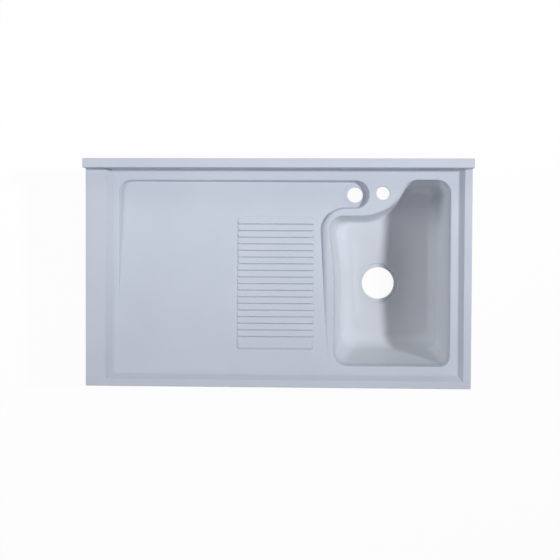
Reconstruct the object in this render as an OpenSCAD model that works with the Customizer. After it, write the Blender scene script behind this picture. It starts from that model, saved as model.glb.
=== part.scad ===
// Countertop washbasin for laundry use: a stone top with a washboard platform, a tap ledge and a deep bowl.
// Frame: origin at the middle of the rear edge, on the plane that rests on the cabinet;
// +X right, +Y towards the wall, +Z up. Every length is in millimetres.

/* [Top] */
// Overall width, left to right
top_width = 1000; // [960:5:1080]
// Overall depth, wall to front edge
top_depth = 590; // [580:5:640]
// Thickness of the stone slab
slab_t = 25; // [23:0.5:32]
// Height of the aprons and battens under the slab
apron_h = 20; // [18:1:60]
// Thickness of the aprons
apron_t = 20; // [12:1:24]
// Radius of the upright outer corners
corner_r = 4; // [2:0.5:6]

/* [Splashback] */
// Thickness of the splashback strip
splash_t = 24; // [15:1:26]
// Height of the splashback above the deck
splash_h = 55; // [40:1:90]
// Radius of the cove at the splashback's foot
splash_cove = 5; // [2:0.5:8]
// Radius on the splashback's upper front edge
splash_edge_r = 3; // [1:0.5:6]

/* [Rims] */
// Height of the raised rims above the deck
rim_h = 15; // [8:1:20]
// Width of the flat top of the left rim
left_rim_w = 52; // [20:1:60]
// Width of the flat top of the right rim
right_rim_w = 19.5; // [12:0.5:24]
// Width of the flat top of the front rim
front_rim_w = 19; // [12:1:24]
// Plan width of the sloping inner side of each rim
rim_slope_w = 14; // [6:0.5:16]
// Radius on the crest of the rims' inner side
rim_crest_r = 3; // [1:0.5:5]
// Radius of the cove at the rims' foot
rim_cove = 8; // [4:1:12]

/* [Bowl opening] */
// Distance from the right end of the top to the opening
bowl_right_margin = 54; // [52:1:70]
// Width of the opening along the front
bowl_width = 300; // [270:1:320]
// Distance from the wall to the rear edge of the opening
bowl_rear_margin = 51; // [50:1:56]
// Distance from the front edge of the top to the opening
bowl_front_margin = 56; // [54:1:80]
// Corner radius, front left
bowl_r_front_left = 36; // [20:1:44]
// Corner radius, front right
bowl_r_front_right = 27; // [15:1:40]
// Corner radius, rear right
bowl_r_rear_right = 36; // [20:1:40]
// How far the bowl widens to the left behind its middle
bowl_bulge = 16; // [8:1:20]
// Distance from the opening's rear edge to where the bulge has faded
bowl_bulge_reach = 244; // [200:2:280]

/* [Tap ledge] */
// How far the tap ledge reaches forward of the opening's rear edge
ledge_reach = 94; // [84:1:100]
// Width of the rear lobe of the bowl beside the ledge
lobe_width = 111.6; // [105:0.2:120]
// Steepness of the curved side of the ledge, in degrees
ledge_angle = 60; // [57:1:64]
// Radius of the ledge's rounded nose
ledge_nose_r = 118; // [90:1:120]
// Radius where the ledge runs into the rear edge
ledge_rear_r = 34; // [20:1:36]
// Radius of the bowl's corner at the left of the ledge
ledge_left_r = 36; // [20:1:38]
// Radius of the soft lip along the ledge
ledge_lip_r = 4; // [2:0.5:6]
// Radius of the lip around the rest of the opening
bowl_lip_r = 3; // [1:0.5:4]
// Distance from the wall to the centre of the tap hole
tap_from_wall = 85; // [80:1:90]
// Distance from the opening's right edge to the centre of the tap hole
tap_from_right = 174; // [168:1:178]
// Diameter of the tap hole
tap_hole_d = 35; // [32:0.5:36]

/* [Bowl] */
// Depth of the bowl below the deck at the foot of its walls
bowl_depth = 190; // [150:1:220]
// Fall of the floor from the walls to the drain
bowl_fall = 6; // [3:0.5:10]
// Thickness of the bowl's shell
bowl_t = 8; // [7:0.5:10]
// Width of the flange that is bonded to the slab's underside
flange_w = 15; // [14.5:0.1:15.2]
// Height of the rounding between walls and floor
bowl_fillet = 38; // [25:1:45]
// Distance from the opening's left edge to the centre of the drain
drain_from_left = 123.5; // [118:0.5:130]
// Distance from the wall to the centre of the drain
drain_from_wall = 324; // [300:1:340]
// Diameter of the drain hole
drain_hole_d = 88; // [60:1:90]
// Diameter of the sunk seat for the waste fitting
drain_seat_d = 108; // [100:1:112]
// Depth of that seat
drain_seat_depth = 3; // [2:0.5:5]
// Thickness of the bonded ring under the drain
drain_boss_t = 10; // [6:1:14]

/* [Platform] */
// Distance from the left end of the top to the sunk platform
platform_left_margin = 84; // [80:1:110]
// Distance from the wall to the sunk platform
platform_rear_margin = 51; // [50:1:56]
// Corner radius, rear left
platform_r = 26; // [14:1:40]
// Depth of the platform at the centre of its drain
platform_depth = 17; // [12:0.5:18]
// Fall of the platform to the rear, in degrees
platform_fall_rear = 2.2; // [1.6:0.01:2.3]
// Fall of the platform to the right, in degrees
platform_fall_right = 0.55; // [0.3:0.01:0.7]
// Distance from the opening's right edge to the centre of the platform drain
platform_drain_from_right = 246; // [244:1:248]
// Distance from the wall to the centre of the platform drain
platform_drain_from_wall = 89; // [89:1:92]
// Diameter of the platform drain hole
platform_drain_d = 40; // [32:0.5:44]
// Diameter of the sunk seat round the platform drain
platform_seat_d = 58; // [52:1:60]
// Depth of that seat
platform_seat_depth = 2.5; // [1:0.5:4]
// Radius of the platform's pocket round its drain
pocket_r = 38; // [36:0.5:38]
// Width of the wall round the platform
platform_wall_w = 5; // [3:0.5:8]
// Width of the broad shoulder between the platform and the bowl, at its rear
shoulder_w = 17; // [12:0.5:19]
// Width of that shoulder at its front
shoulder_front_w = 3; // [2:0.5:6]
// Radius of the bend from the pocket to the shoulder
bend_r = 60; // [50:1:62]
// Thickness of the bonded ring under the platform drain
platform_boss_t = 8; // [5:1:12]

/* [Washboard] */
// Radius of the washboard's upright corners
board_r = 9; // [5:0.5:12]
// Width of the washboard
board_w = 200; // [150:1:230]
// Length of one rib, front to back
rib_pitch = 17.25; // [14:0.05:17.3]
// Number of ribs
rib_count = 20; // [12:1:20]
// Height of a rib's crest above the platform
rib_h = 2.2; // [1:0.1:4]
// Depth of the valley behind each rib, below the platform
rib_dip = 0.6; // [0:0.1:1]
// Plan length of the steep front of a rib
rib_step = 1.2; // [0.4:0.1:3]
// Plan width of the bevel at both ends of a rib, at its crest
rib_bevel = 5.7; // [2:0.1:8]
// Thickness of the board below its ribs, let into the platform
board_t = 4; // [3:0.5:5]
// Distance from the board to the bridge beside the bowl
board_from_bridge = 36; // [33:1:80]
// Distance from the wall to the rear end of the board
board_from_wall = 147.5; // [146:0.5:170]

/* [Battens and clips] */
// Width of the battens under the slab
batten_w = 40; // [30:1:50]
// Gap between the last batten and the bowl's flange
batten_gap = 12; // [6:1:20]
// Width of the clips that hold the bowl's flange
clip_w = 22; // [16:1:30]
// Thickness of the clips
clip_t = 2; // [1.5:0.1:3]
// Reach of a clip beyond the flange
clip_foot = 13; // [11:0.5:13.5]
// Reach of a clip under the flange
clip_grip = 5; // [4:0.5:5.5]
// Diameter of the clip screws
screw_d = 5; // [4:0.5:6]
// Depth of the clip screws in the slab
screw_depth = 12; // [8:1:14]

/* [Hidden] */

// Colours: pale cast stone in three shades, and the steel of the clips
stone = "#c8ced9";
stone_raised = "#ccd2dc";
stone_under = "#b9bfca";
steel = "#9aa0a6";

// Levels and ends that the pieces share
deck_z = apron_h + slab_t;
half_w = top_width / 2;
past = 5;
fine = 96;

// Bowl opening, named by its sides
bx1 = half_w - bowl_right_margin;
bx0 = bx1 - bowl_width;
by1 = -bowl_rear_margin;
by0 = -(top_depth - bowl_front_margin);
ledge_y = by1 - ledge_reach;
lobe_x = bx1 - lobe_width;
nose_x = lobe_x - ledge_reach / tan(ledge_angle);
tap_pos = [bx1 - tap_from_right, -tap_from_wall];
drain_pos = [bx0 + drain_from_left, -drain_from_wall];

// Corners of the opening, anticlockwise from the front left: x, y, points on the arc
bowl_corners = [
  [bx0, by0, 8], [bx1, by0, 7], [bx1, by1, 8], [lobe_x, by1, 6],
  [nose_x, ledge_y, 12], [bx0 - bowl_bulge, ledge_y, 8], [bx0, by1 - bowl_bulge_reach, 4]
];
bulge_r = 400;
bowl_radii_top = [
  bowl_r_front_left, bowl_r_front_right, bowl_r_rear_right, ledge_rear_r, ledge_nose_r, ledge_left_r, bulge_r
];
// Radii at floor level: the rear lobe narrows, so its corners tighten; the front ones open out
bowl_radii_floor = [
  bowl_r_front_left + 8, bowl_r_front_right + 7, bowl_r_rear_right * 0.65, ledge_rear_r * 0.6,
  ledge_nose_r - 4, ledge_left_r - 1, bulge_r
];
// Sides of the opening in the same order: lean of the wall per unit of depth, and reach of the rounding
wall_lean = [0.2, 0.13, 0.08, 0.05, 0.05, 0.13, 0.13];
floor_reach = [36, 27, 26, 22, 22, 30, 30];
lip_radii = [bowl_lip_r, bowl_lip_r, bowl_lip_r, ledge_lip_r, ledge_lip_r, bowl_lip_r, bowl_lip_r];
fillet_top = bowl_depth - bowl_fillet;
seat_flat_r = drain_seat_d / 2 + 6;
floor_z = deck_z - bowl_depth - bowl_fall;

function count(list) = len(list);
function after(k, n) = (k + 1) % n;
function before(k, n) = (k + n - 1) % n;
function unit(v) = v / norm(v);
function turned(v) = [-v[1], v[0]];
function cross2(a, b) = a[0] * b[1] - a[1] * b[0];
function plan(c) = [c[0], c[1]];
function mix(a, b, s) = a * (1 - s) + b * s;
function wrap(a) = a > 180 ? a - 360 : a < -180 ? a + 360 : a;

// Corner k of a closed outline whose sides have moved inwards by the listed insets
function moved_corner(c, insets, k) =
  let (n = count(c), i = before(k, n), d0 = unit(plan(c[k]) - plan(c[i])),
       d1 = unit(plan(c[after(k, n)]) - plan(c[k])),
       p0 = plan(c[i]) + turned(d0) * insets[i], p1 = plan(c[k]) + turned(d1) * insets[k])
  p0 + d0 * cross2(p1 - p0, d1) / cross2(d0, d1);

// One rounded corner as [point, outward direction, share of the way from the side before to the side after]
function arc_at(p, c, q, r, n) =
  let (u = unit(p - c), v = unit(q - c), half = acos(u * v) / 2, mid = c + unit(u + v) * r / sin(half),
       a = c + u * r / tan(half) - mid, b = c + v * r / tan(half) - mid, a0 = atan2(a[1], a[0]),
       sweep = wrap(atan2(b[1], b[0]) - a0), out = sweep > 0 ? 1 : -1)
  [for (i = [0 : n - 1]) let (s = i / (n - 1), t = a0 + sweep * s, e = [cos(t), sin(t)])
    [mid + e * r, e * out, s]];

// Outline of the bowl, its sides moved in by the insets and its corners given the radii
function bowl_loop(insets, radii) =
  let (n = count(bowl_corners), c = [for (k = [0 : n - 1]) moved_corner(bowl_corners, insets, k)])
  [for (k = [0 : n - 1]) each arc_at(c[before(k, n)], c[k], c[after(k, n)], radii[k], bowl_corners[k][2])];
function lip_list() = [for (k = [0 : count(bowl_corners) - 1]) each
  [for (i = [0 : bowl_corners[k][2] - 1])
    mix(lip_radii[before(k, count(bowl_corners))], lip_radii[k], i / (bowl_corners[k][2] - 1))]];

// Horizontal ring of the bowl at a depth; grow moves it outwards by the shell's thickness
function wall_ring(d, grow, z) =
  let (s = d / bowl_depth, radii = mix(bowl_radii_top, bowl_radii_floor, s),
       loop = bowl_loop([for (w = wall_lean) w * d], radii))
  [for (e = loop) [each e[0] + e[1] * grow, z]];
// Ring of the rounding between wall and floor: s runs from 0 at the wall to 1 at the floor
function fillet_ring(s, grow, drop) =
  let (d = mix(mix(fillet_top, bowl_depth, s), bowl_depth, s), share = pow(s, 2),
       radii = mix(bowl_radii_top, bowl_radii_floor, d / bowl_depth),
       insets = [for (k = [0 : count(wall_lean) - 1]) wall_lean[k] * d + floor_reach[k] * share],
       loop = bowl_loop(insets, radii))
  [for (e = loop) [each e[0] + e[1] * grow, deck_z - d - drop * s]];
// Floor between the rounding and the flat seat of the drain
function floor_ring(edge, s, z0, z1) =
  [for (p = edge) let (q = plan(p), c = drain_pos + unit(q - drain_pos) * seat_flat_r)
    [each mix(q, c, s), mix(z0, z1, s)]];

// Closed solid from rings of equal length, capped by fans round two centres
module lofted(rings, first, last) {
  n = count(rings[0]);
  m = count(rings);
  points = concat([for (r = rings) each r], [first, last]);
  skin = [for (j = [0 : m - 2]) for (i = [0 : n - 1]) let (a = j * n + i, b = j * n + after(i, n))
    each [[a, b, b + n], [a, b + n, a + n]]];
  start = [for (i = [0 : n - 1]) [m * n, after(i, n), i]];
  end = [for (i = [0 : n - 1]) [m * n + 1, (m - 1) * n + i, (m - 1) * n + after(i, n)]];
  polyhedron(points = points, faces = concat(skin, start, end), convexity = 10);
}

// Space above the bowl: the slab's opening with its rounded lip
module opening_space() {
  top = wall_ring(0, 0, deck_z);
  loop = bowl_loop([for (w = wall_lean) 0], bowl_radii_top);
  lips = lip_list();
  steps = 5;
  lip = [for (j = [0 : steps]) let (a = 90 * j / steps)
    [for (i = [0 : count(top) - 1]) let (r = lips[i], p = plan(top[i]) + loop[i][1] * r * (1 - sin(a)))
      [each p, deck_z - r * (1 - cos(a))]]];
  above = [for (p = lip[0]) [each plan(p), deck_z + past]];
  below = wall_ring(slab_t, 0, apron_h);
  under = [for (p = below) [each plan(p), apron_h - past]];
  rings = concat([above], lip, [below, under]);
  lofted(rings, [each drain_pos, deck_z + past], [each drain_pos, apron_h - past]);
}

// Platform: a plane that falls to the drain in the rear right corner
pocket_pos = [bx1 - platform_drain_from_right, -platform_drain_from_wall];
platform_z = deck_z - platform_depth;
fall_x = tan(platform_fall_right);
fall_y = tan(platform_fall_rear);
px0 = -half_w + platform_left_margin;
py1 = -platform_rear_margin;
bend_pos = [pocket_pos[0] - 25, pocket_pos[1] - pocket_r - bend_r];
bend_inset = 14.2;
shoulder_end = [bx0 - 14.4, by0 + 12];
platform_end = by0 + 2;
function plane_z(p) = platform_z - (p[0] - pocket_pos[0]) * fall_x - (p[1] - pocket_pos[1]) * fall_y;

// Right side of the platform, rear to front: crest of its wall, direction towards its foot, width of the wall
right_side = concat(
  [for (a = [90 : -14.5 : -84])
    let (e = [cos(a), sin(a)]) [pocket_pos + pocket_r * e, -e, platform_wall_w]],
  [for (a = [96 : 12 : 180])
    let (s = (a - 96) / 84, w = mix(platform_wall_w, shoulder_w, s), e = [cos(a), sin(a)])
    [bend_pos + e * (bend_r - bend_inset * s), e, w]],
  [for (s = [0.25 : 0.25 : 1]) let (w = mix(shoulder_w, shoulder_front_w, s))
    [mix(bend_pos - [bend_r - bend_inset, 0], shoulder_end, s), [-1, 0], w]],
  [[[shoulder_end[0], platform_end], [-1, 0], shoulder_front_w]]
);
function left_x(y) =
  let (r = platform_r, c = py1 - r) y <= c ? px0 : px0 + r - sqrt(max(0, r * r - pow(y - c, 2)));
function left_dir(y) =
  let (c = py1 - platform_r, t = min(1, max(0, (y - c) / platform_r))) [sqrt(1 - t * t), -t];
// Both sides of the platform at the same distances from the wall, the wall's profile at a share of its width
function platform_loop(share) = concat(
  [for (e = right_side) e[0] + e[1] * e[2] * share],
  [for (i = [count(right_side) - 1 : -1 : 0]) let (y = right_side[i][0][1])
    [left_x(y), y] + left_dir(y) * platform_wall_w * share]
);
// Ring of the wall at a share of its width, gentle at the crest and steep at the foot;
// where the plane comes out above the deck, the ring stays above both
function wall_top(p) = max(deck_z, plane_z(p) + 0.6);
function platform_ring(share) =
  [for (p = platform_loop(share)) [each p, mix(wall_top(p), plane_z(p), pow(share, 2.3))]];

// Space above the platform, bounded by its wall and the falling plane
module platform_space() {
  crest = platform_ring(0);
  above = [for (p = crest) [each plan(p), deck_z + 4 * past]];
  rings = concat([above, crest], [for (share = [0.4, 0.75, 1]) platform_ring(share)]);
  n = count(crest);
  m = count(rings);
  skin = [for (j = [0 : m - 2]) for (i = [0 : n - 1]) let (a = j * n + i, b = j * n + after(i, n))
    each [[a, b + n, b], [a, a + n, b + n]]];
  half = n / 2;
  caps = [for (i = [0 : half - 2]) let (a = i, b = i + 1, c = n - 2 - i, d = n - 1 - i, o = (m - 1) * n)
    each [[a, b, c], [a, c, d], [o + a, o + c, o + b], [o + a, o + d, o + c]]];
  polyhedron(points = [for (r = rings) each r], faces = concat(skin, caps), convexity = 10);
}

// Frame of the washboard: its rear right corner, on the platform's plane
board_x1 = bx0 - bowl_bulge - board_from_bridge;
board_len = rib_pitch * rib_count;
tilt_right = atan(fall_x);
tilt_rear = -atan(fall_y * cos(tilt_right));
module on_platform() {
  corner = [board_x1, -board_from_wall];
  translate([each corner, plane_z(corner)]) rotate([tilt_rear, tilt_right, 0]) children();
}

// Outline of the top with its rounded corners
module top_outline() {
  union() {
    translate([-half_w + corner_r, -top_depth]) square([top_width - 2 * corner_r, top_depth]);
    translate([-half_w, -top_depth + corner_r]) square([top_width, top_depth - corner_r]);
    for (x = [-1, 1]) translate([x * (half_w - corner_r), -top_depth + corner_r])
      circle(corner_r, $fn = fine);
  }
}

// Clip places: a point on the opening's edge at the slab's underside, and the angle that faces away from it
slab_lean = wall_lean * slab_t;
bulge_end = by1 - bowl_bulge_reach;
clip_places = [
  for (s = [0.3, 0.7]) [[mix(bx0, bx1, s), by0 + slab_lean[0]], -90],
  for (s = [0.3, 0.75]) [[bx1 - slab_lean[1], mix(by0, by1, s)], 0],
  for (s = [0.35, 0.72]) [[bx0 + slab_lean[6], mix(by0, bulge_end, s)], 180],
  [[mix(lobe_x, bx1, 0.4), by1 - slab_lean[2]], 90]
];
module at_clips() {
  for (p = clip_places) translate(p[0]) rotate([0, 0, p[1]]) children();
}
clip_gap = 0.2;
flange_edge = flange_w + clip_gap;
screw_at = flange_edge + clip_t + (clip_foot - clip_t) / 2 + 0.5;

module deck_slab() {
  color(stone) difference() {
    translate([0, 0, apron_h]) linear_extrude(slab_t) top_outline();
    opening_space();
    platform_space();
    translate([each tap_pos, apron_h - past])
      cylinder(d = tap_hole_d, h = slab_t + 2 * past, $fn = fine);
    translate([each pocket_pos, apron_h - past])
      cylinder(d = platform_drain_d, h = slab_t + past, $fn = fine);
    translate([each pocket_pos, platform_z - platform_seat_depth])
      cylinder(d = platform_seat_d, h = platform_depth, $fn = fine);
    board_seat();
    at_clips() translate([screw_at, 0, apron_h - past])
      cylinder(d = screw_d, h = past + screw_depth, $fn = 32);
  }
}

// Plan of the washboard, from its rear right corner; grow makes the seat wider all round
board_fit = 0.2;
module board_plan(grow) {
  r = board_r + grow;
  translate([-board_w - grow, -board_len - grow]) union() {
    translate([0, r]) square([board_w + 2 * grow, board_len + 2 * grow - 2 * r]);
    translate([r, 0]) square([board_w + 2 * grow - 2 * r, board_len + 2 * grow]);
    for (x = [r, board_w + 2 * grow - r], y = [r, board_len + 2 * grow - r])
      translate([x, y]) circle(r, $fn = fine);
  }
}
module board_seat() {
  on_platform() translate([0, 0, -board_t]) linear_extrude(board_t + past) board_plan(board_fit);
}

// Cross section that bevels the ends of the ribs, from the level of the valleys upwards
module rib_ends() {
  rise = (rib_h + rib_dip) / rib_bevel;
  edge = [
    [past, -board_t - past], [past, -rib_dip - past * rise], [-rib_bevel - past / rise, rib_h + past]
  ];
  polygon(concat(edge, [for (i = [2 : -1 : 0]) [-board_w - edge[i][0], edge[i][1]]]));
}

// Ribs rise towards the front and end in a steep step; the last two pitches make one plain band
band_drop = 0.9;
module washboard() {
  steps = [for (i = [1 : rib_count - 2])
    each [[-i * rib_pitch, rib_h], [-i * rib_pitch - rib_step, -rib_dip]]];
  band = [[-(rib_count - 1) * rib_pitch, rib_h], [-board_len, rib_h - band_drop]];
  profile = concat([[0, -board_t], [0, 0]], steps, band, [[-board_len, -board_t]]);
  color(stone_raised) on_platform() intersection() {
    rotate([0, -90, 0]) linear_extrude(board_w) polygon([for (p = profile) [p[1], p[0]]]);
    translate([0, 0, -board_t - past]) linear_extrude(board_t + rib_h + 2 * past) board_plan(0);
    translate([0, past, 0]) rotate([90, 0, 0]) linear_extrude(board_len + 2 * past) rib_ends();
  }
}

module bowl() {
  hole = [each drain_pos, floor_z];
  inner = concat([wall_ring(slab_t, 0, apron_h)], [for (s = [0 : 0.2 : 1]) fillet_ring(s, 0, 0)]);
  inner_edge = inner[count(inner) - 1];
  inner_floor = [for (s = [0.5, 1]) floor_ring(inner_edge, s, deck_z - bowl_depth, floor_z)];
  outer = [for (s = [1 : -0.25 : 0]) fillet_ring(s, bowl_t, bowl_t)];
  outer_floor = [for (s = [1, 0.5]) floor_ring(outer[0], s, outer[0][0][2], floor_z - bowl_t)];
  flange_z = apron_h - bowl_t;
  flange = [
    wall_ring(slab_t + bowl_t, bowl_t, flange_z), wall_ring(slab_t, flange_w, flange_z),
    wall_ring(slab_t, flange_w, apron_h)
  ];
  color(stone) difference() {
    shell(concat(inner, inner_floor), concat(outer_floor, outer, flange));
    translate(hole - [0, 0, bowl_t + past])
      cylinder(d = drain_hole_d, h = bowl_t + 2 * past, $fn = fine);
    translate(hole - [0, 0, drain_seat_depth])
      cylinder(d = drain_seat_d, h = drain_seat_depth + past, $fn = fine);
  }
}
// Shell between an inner run of rings, from rim to floor, and an outer run, from floor to rim
module shell(inner, outer) {
  n = count(inner[0]);
  rings = concat(inner, outer);
  m = count(rings);
  k = count(inner);
  points = concat([for (r = rings) each r], [[each drain_pos, floor_z], [each drain_pos, floor_z - bowl_t]]);
  skin = [for (j = [0 : m - 1]) if (j != k - 1) for (i = [0 : n - 1])
    let (a = j * n + i, b = j * n + after(i, n), o = (j == m - 1) ? -j * n : n)
    each [[a, b + o, b], [a, a + o, b + o]]];
  top = [for (i = [0 : n - 1]) [m * n, (k - 1) * n + after(i, n), (k - 1) * n + i]];
  under = [for (i = [0 : n - 1]) [m * n + 1, k * n + i, k * n + after(i, n)]];
  polyhedron(points = points, faces = concat(skin, top, under), convexity = 10);
}

module splash_profile() {
  r = splash_edge_r;
  c = splash_cove;
  polygon(concat(
    [[0, 0], [0, splash_h]],
    [for (a = [90 : -15 : 0]) [splash_t - r + r * cos(a), splash_h - r + r * sin(a)]],
    [for (a = [180 : 15 : 270]) [splash_t + c + c * cos(a), c + c * sin(a)]]
  ));
}
module along_wall() {
  translate([half_w, 0, deck_z]) rotate([90, 0, -90]) linear_extrude(top_width) children();
}
module splashback() {
  color(stone_raised) along_wall() splash_profile();
}

// Rim profile: flat top, rounded crest, slope and a cove that runs out on the deck; it is drawn inwards from
// the outer edge and starts outside it, because the outline of the top trims it
rim_angle = atan(rim_h / rim_slope_w);
crest_back = rim_crest_r * tan(rim_angle / 2);
cove_run = rim_cove * tan(rim_angle / 2);
module rim_profile(flat) {
  foot = flat + rim_slope_w;
  polygon(concat(
    [[foot + cove_run, 0], [-past, 0], [-past, rim_h]],
    [for (s = [0 : 0.25 : 1]) let (a = 90 - rim_angle * s)
      [flat - crest_back + rim_crest_r * cos(a), rim_h - rim_crest_r + rim_crest_r * sin(a)]],
    [for (s = [1 : -0.25 : 0.25]) let (a = 270 - rim_angle * s)
      [foot + cove_run + rim_cove * cos(a), rim_cove + rim_cove * sin(a)]]
  ));
}
front_rim_edge = -top_depth + front_rim_w;
rim_reach = rim_slope_w + 2 * past;

// The rims meet in mitres: at 45 degrees over the slopes, then straight to the corners of the top
module trimmed(mitre) {
  translate([0, 0, deck_z - past]) linear_extrude(rim_h + 2 * past) intersection() {
    top_outline();
    polygon(mitre);
  }
}
module side_rim(flat, side) {
  edge = side * half_w;
  crest = edge - side * flat;
  inner = crest - side * rim_reach;
  color(stone_raised) difference() {
    intersection() {
      translate([edge, past, deck_z]) mirror([side > 0 ? 1 : 0, 0, 0]) rotate([90, 0, 0])
        linear_extrude(top_depth + 2 * past) rim_profile(flat);
      trimmed([
        [inner, past], [inner, front_rim_edge + rim_reach], [crest, front_rim_edge], [edge, -top_depth],
        [edge + side * past, -top_depth], [edge + side * past, past]
      ]);
    }
    along_wall() splash_profile();
  }
}
module left_rim() { side_rim(left_rim_w, -1); }
module right_rim() { side_rim(right_rim_w, 1); }
module front_rim() {
  l = -half_w + left_rim_w;
  r = half_w - right_rim_w;
  color(stone_raised) intersection() {
    translate([-half_w - past, -top_depth, deck_z]) rotate([90, 0, 90])
      linear_extrude(top_width + 2 * past) rim_profile(front_rim_w);
    trimmed([
      [-half_w, -top_depth - past], [half_w, -top_depth - past], [half_w, -top_depth], [r, front_rim_edge],
      [r - rim_reach, front_rim_edge + rim_reach], [l + rim_reach, front_rim_edge + rim_reach],
      [l, front_rim_edge], [-half_w, -top_depth]
    ]);
  }
}

// Aprons: the long ones run the full width, the side ones stand between them
module front_apron() {
  color(stone_under) linear_extrude(apron_h) intersection() {
    top_outline();
    translate([-half_w, -top_depth]) square([top_width, apron_t]);
  }
}
module rear_apron() {
  color(stone_under) translate([-half_w, -apron_t, 0]) cube([top_width, apron_t, apron_h]);
}
module side_apron(side) {
  color(stone_under) translate([side > 0 ? half_w - apron_t : -half_w, -top_depth + apron_t, 0])
    cube([apron_t, top_depth - 2 * apron_t, apron_h]);
}
module left_apron() { side_apron(-1); }
module right_apron() { side_apron(1); }

// Battens between the front and rear aprons, counted from the bowl to the left, with equal bays between them
batten_x = bx0 - bowl_bulge - flange_w - batten_gap - batten_w;
bay = (batten_x + half_w - apron_t - 2 * batten_w) / 3;
batten_pitch = bay + batten_w;
module batten(i) {
  color(stone_under) translate([batten_x - i * batten_pitch, -top_depth + apron_t, 0])
    cube([batten_w, top_depth - 2 * apron_t, apron_h]);
}
module batten_right() { batten(0); }
module batten_middle() { batten(1); }
module batten_left() { batten(2); }

// Rings bonded under the two drains, so that the waste fittings tighten against a thick, level face
module drain_ring(pos, z, hole, wall, t) {
  color(stone_under) translate([each pos, z - t]) difference() {
    cylinder(d = hole + 2 * wall, h = t, $fn = fine);
    translate([0, 0, -past]) cylinder(d = hole, h = t + 2 * past, $fn = fine);
  }
}
ring_wall = 14;
module platform_drain_ring() {
  drain_ring(pocket_pos, apron_h, platform_drain_d, ring_wall, platform_boss_t);
}
module bowl_drain_ring() {
  drain_ring(drain_pos, floor_z - bowl_t, drain_hole_d, ring_wall, drain_boss_t);
}

// Z-shaped clips: a foot against the slab, a web past the flange's edge and a grip under the flange
module bowl_clips() {
  under = -bowl_t - clip_gap;
  color(steel) at_clips() translate([0, clip_w / 2, apron_h]) rotate([90, 0, 0]) difference() {
    linear_extrude(clip_w) polygon([
      [flange_edge, 0], [flange_edge + clip_foot, 0], [flange_edge + clip_foot, -clip_t],
      [flange_edge + clip_t, -clip_t], [flange_edge + clip_t, under - clip_t],
      [flange_edge - clip_grip, under - clip_t], [flange_edge - clip_grip, under], [flange_edge, under]
    ]);
    translate([screw_at, past, clip_w / 2]) rotate([90, 0, 0])
      cylinder(d = screw_d, h = 2 * past + clip_t, $fn = 32);
  }
}
head_h = 3;
head_d = 9;
module clip_screws() {
  color(steel) at_clips() translate([screw_at, 0, apron_h - clip_t - head_h]) {
    cylinder(d = head_d, h = head_h, $fn = 32);
    cylinder(d = screw_d, h = head_h + clip_t + screw_depth, $fn = 32);
  }
}

deck_slab();
washboard();
bowl();
splashback();
left_rim();
right_rim();
front_rim();
front_apron();
rear_apron();
left_apron();
right_apron();
batten_left();
batten_middle();
batten_right();
platform_drain_ring();
bowl_drain_ring();
bowl_clips();
clip_screws();
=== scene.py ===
"""Looks of a countertop washbasin for laundry use: pale cast stone with a gel coat, on a white ground.

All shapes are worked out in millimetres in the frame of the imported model: the origin is the middle of the
rear bottom edge, +X runs right, +Y towards the wall and +Z up. They become metres when a mesh is made.
"""
import logging
import math
from dataclasses import dataclass, field
from enum import Enum
from typing import Callable, Sequence

import bmesh
import bpy
import numpy as np
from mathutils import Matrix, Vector
from mathutils.geometry import delaunay_2d_cdt


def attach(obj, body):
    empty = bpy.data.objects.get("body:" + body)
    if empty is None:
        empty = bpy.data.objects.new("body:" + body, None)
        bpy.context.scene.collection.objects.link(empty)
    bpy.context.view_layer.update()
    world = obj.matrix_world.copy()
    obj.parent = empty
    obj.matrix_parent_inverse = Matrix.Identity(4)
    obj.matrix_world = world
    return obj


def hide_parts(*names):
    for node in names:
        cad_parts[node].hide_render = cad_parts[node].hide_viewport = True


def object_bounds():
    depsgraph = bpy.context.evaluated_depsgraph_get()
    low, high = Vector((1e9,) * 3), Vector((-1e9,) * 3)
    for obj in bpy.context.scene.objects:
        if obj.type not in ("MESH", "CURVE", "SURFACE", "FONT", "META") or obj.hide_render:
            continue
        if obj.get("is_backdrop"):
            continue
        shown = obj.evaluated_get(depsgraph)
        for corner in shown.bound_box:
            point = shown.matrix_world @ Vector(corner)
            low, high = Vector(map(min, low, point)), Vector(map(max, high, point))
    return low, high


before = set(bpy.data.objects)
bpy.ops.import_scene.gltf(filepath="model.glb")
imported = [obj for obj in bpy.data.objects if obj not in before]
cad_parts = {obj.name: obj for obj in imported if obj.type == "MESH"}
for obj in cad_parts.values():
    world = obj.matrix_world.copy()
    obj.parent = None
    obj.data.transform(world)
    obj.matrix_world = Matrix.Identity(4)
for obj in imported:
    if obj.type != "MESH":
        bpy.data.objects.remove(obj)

LOG = logging.getLogger("washbasin")
MM = 0.001
TURN = 2.0 * math.pi
# Points closer than the first become one, and edges shorter than the second are taken out, in millimetres
MERGED = 0.004
SLIVER = 0.002
# An eased edge is drawn with two chords that meet at this share of its radius from both faces
CHORD = 0.3


# Surfaces

@dataclass
class Surface:
    """A surface as points in millimetres and faces as rows of point numbers."""

    points: np.ndarray
    faces: list[tuple[int, ...]]

    def flipped(self) -> "Surface":
        """The same surface with its faces turned over."""
        return Surface(self.points, [face[::-1] for face in self.faces])

    @staticmethod
    def joined(parts: Sequence["Surface"]) -> "Surface":
        """Puts several surfaces into one.

        Args:
            parts: the surfaces, which may share edges.

        Returns:
            One surface that holds the points and faces of all of them.
        """
        faces: list[tuple[int, ...]] = []
        start = 0
        for part in parts:
            faces += [tuple(i + start for i in face) for face in part.faces]
            start += len(part.points)
        return Surface(np.concatenate([part.points for part in parts]), faces)


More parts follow.
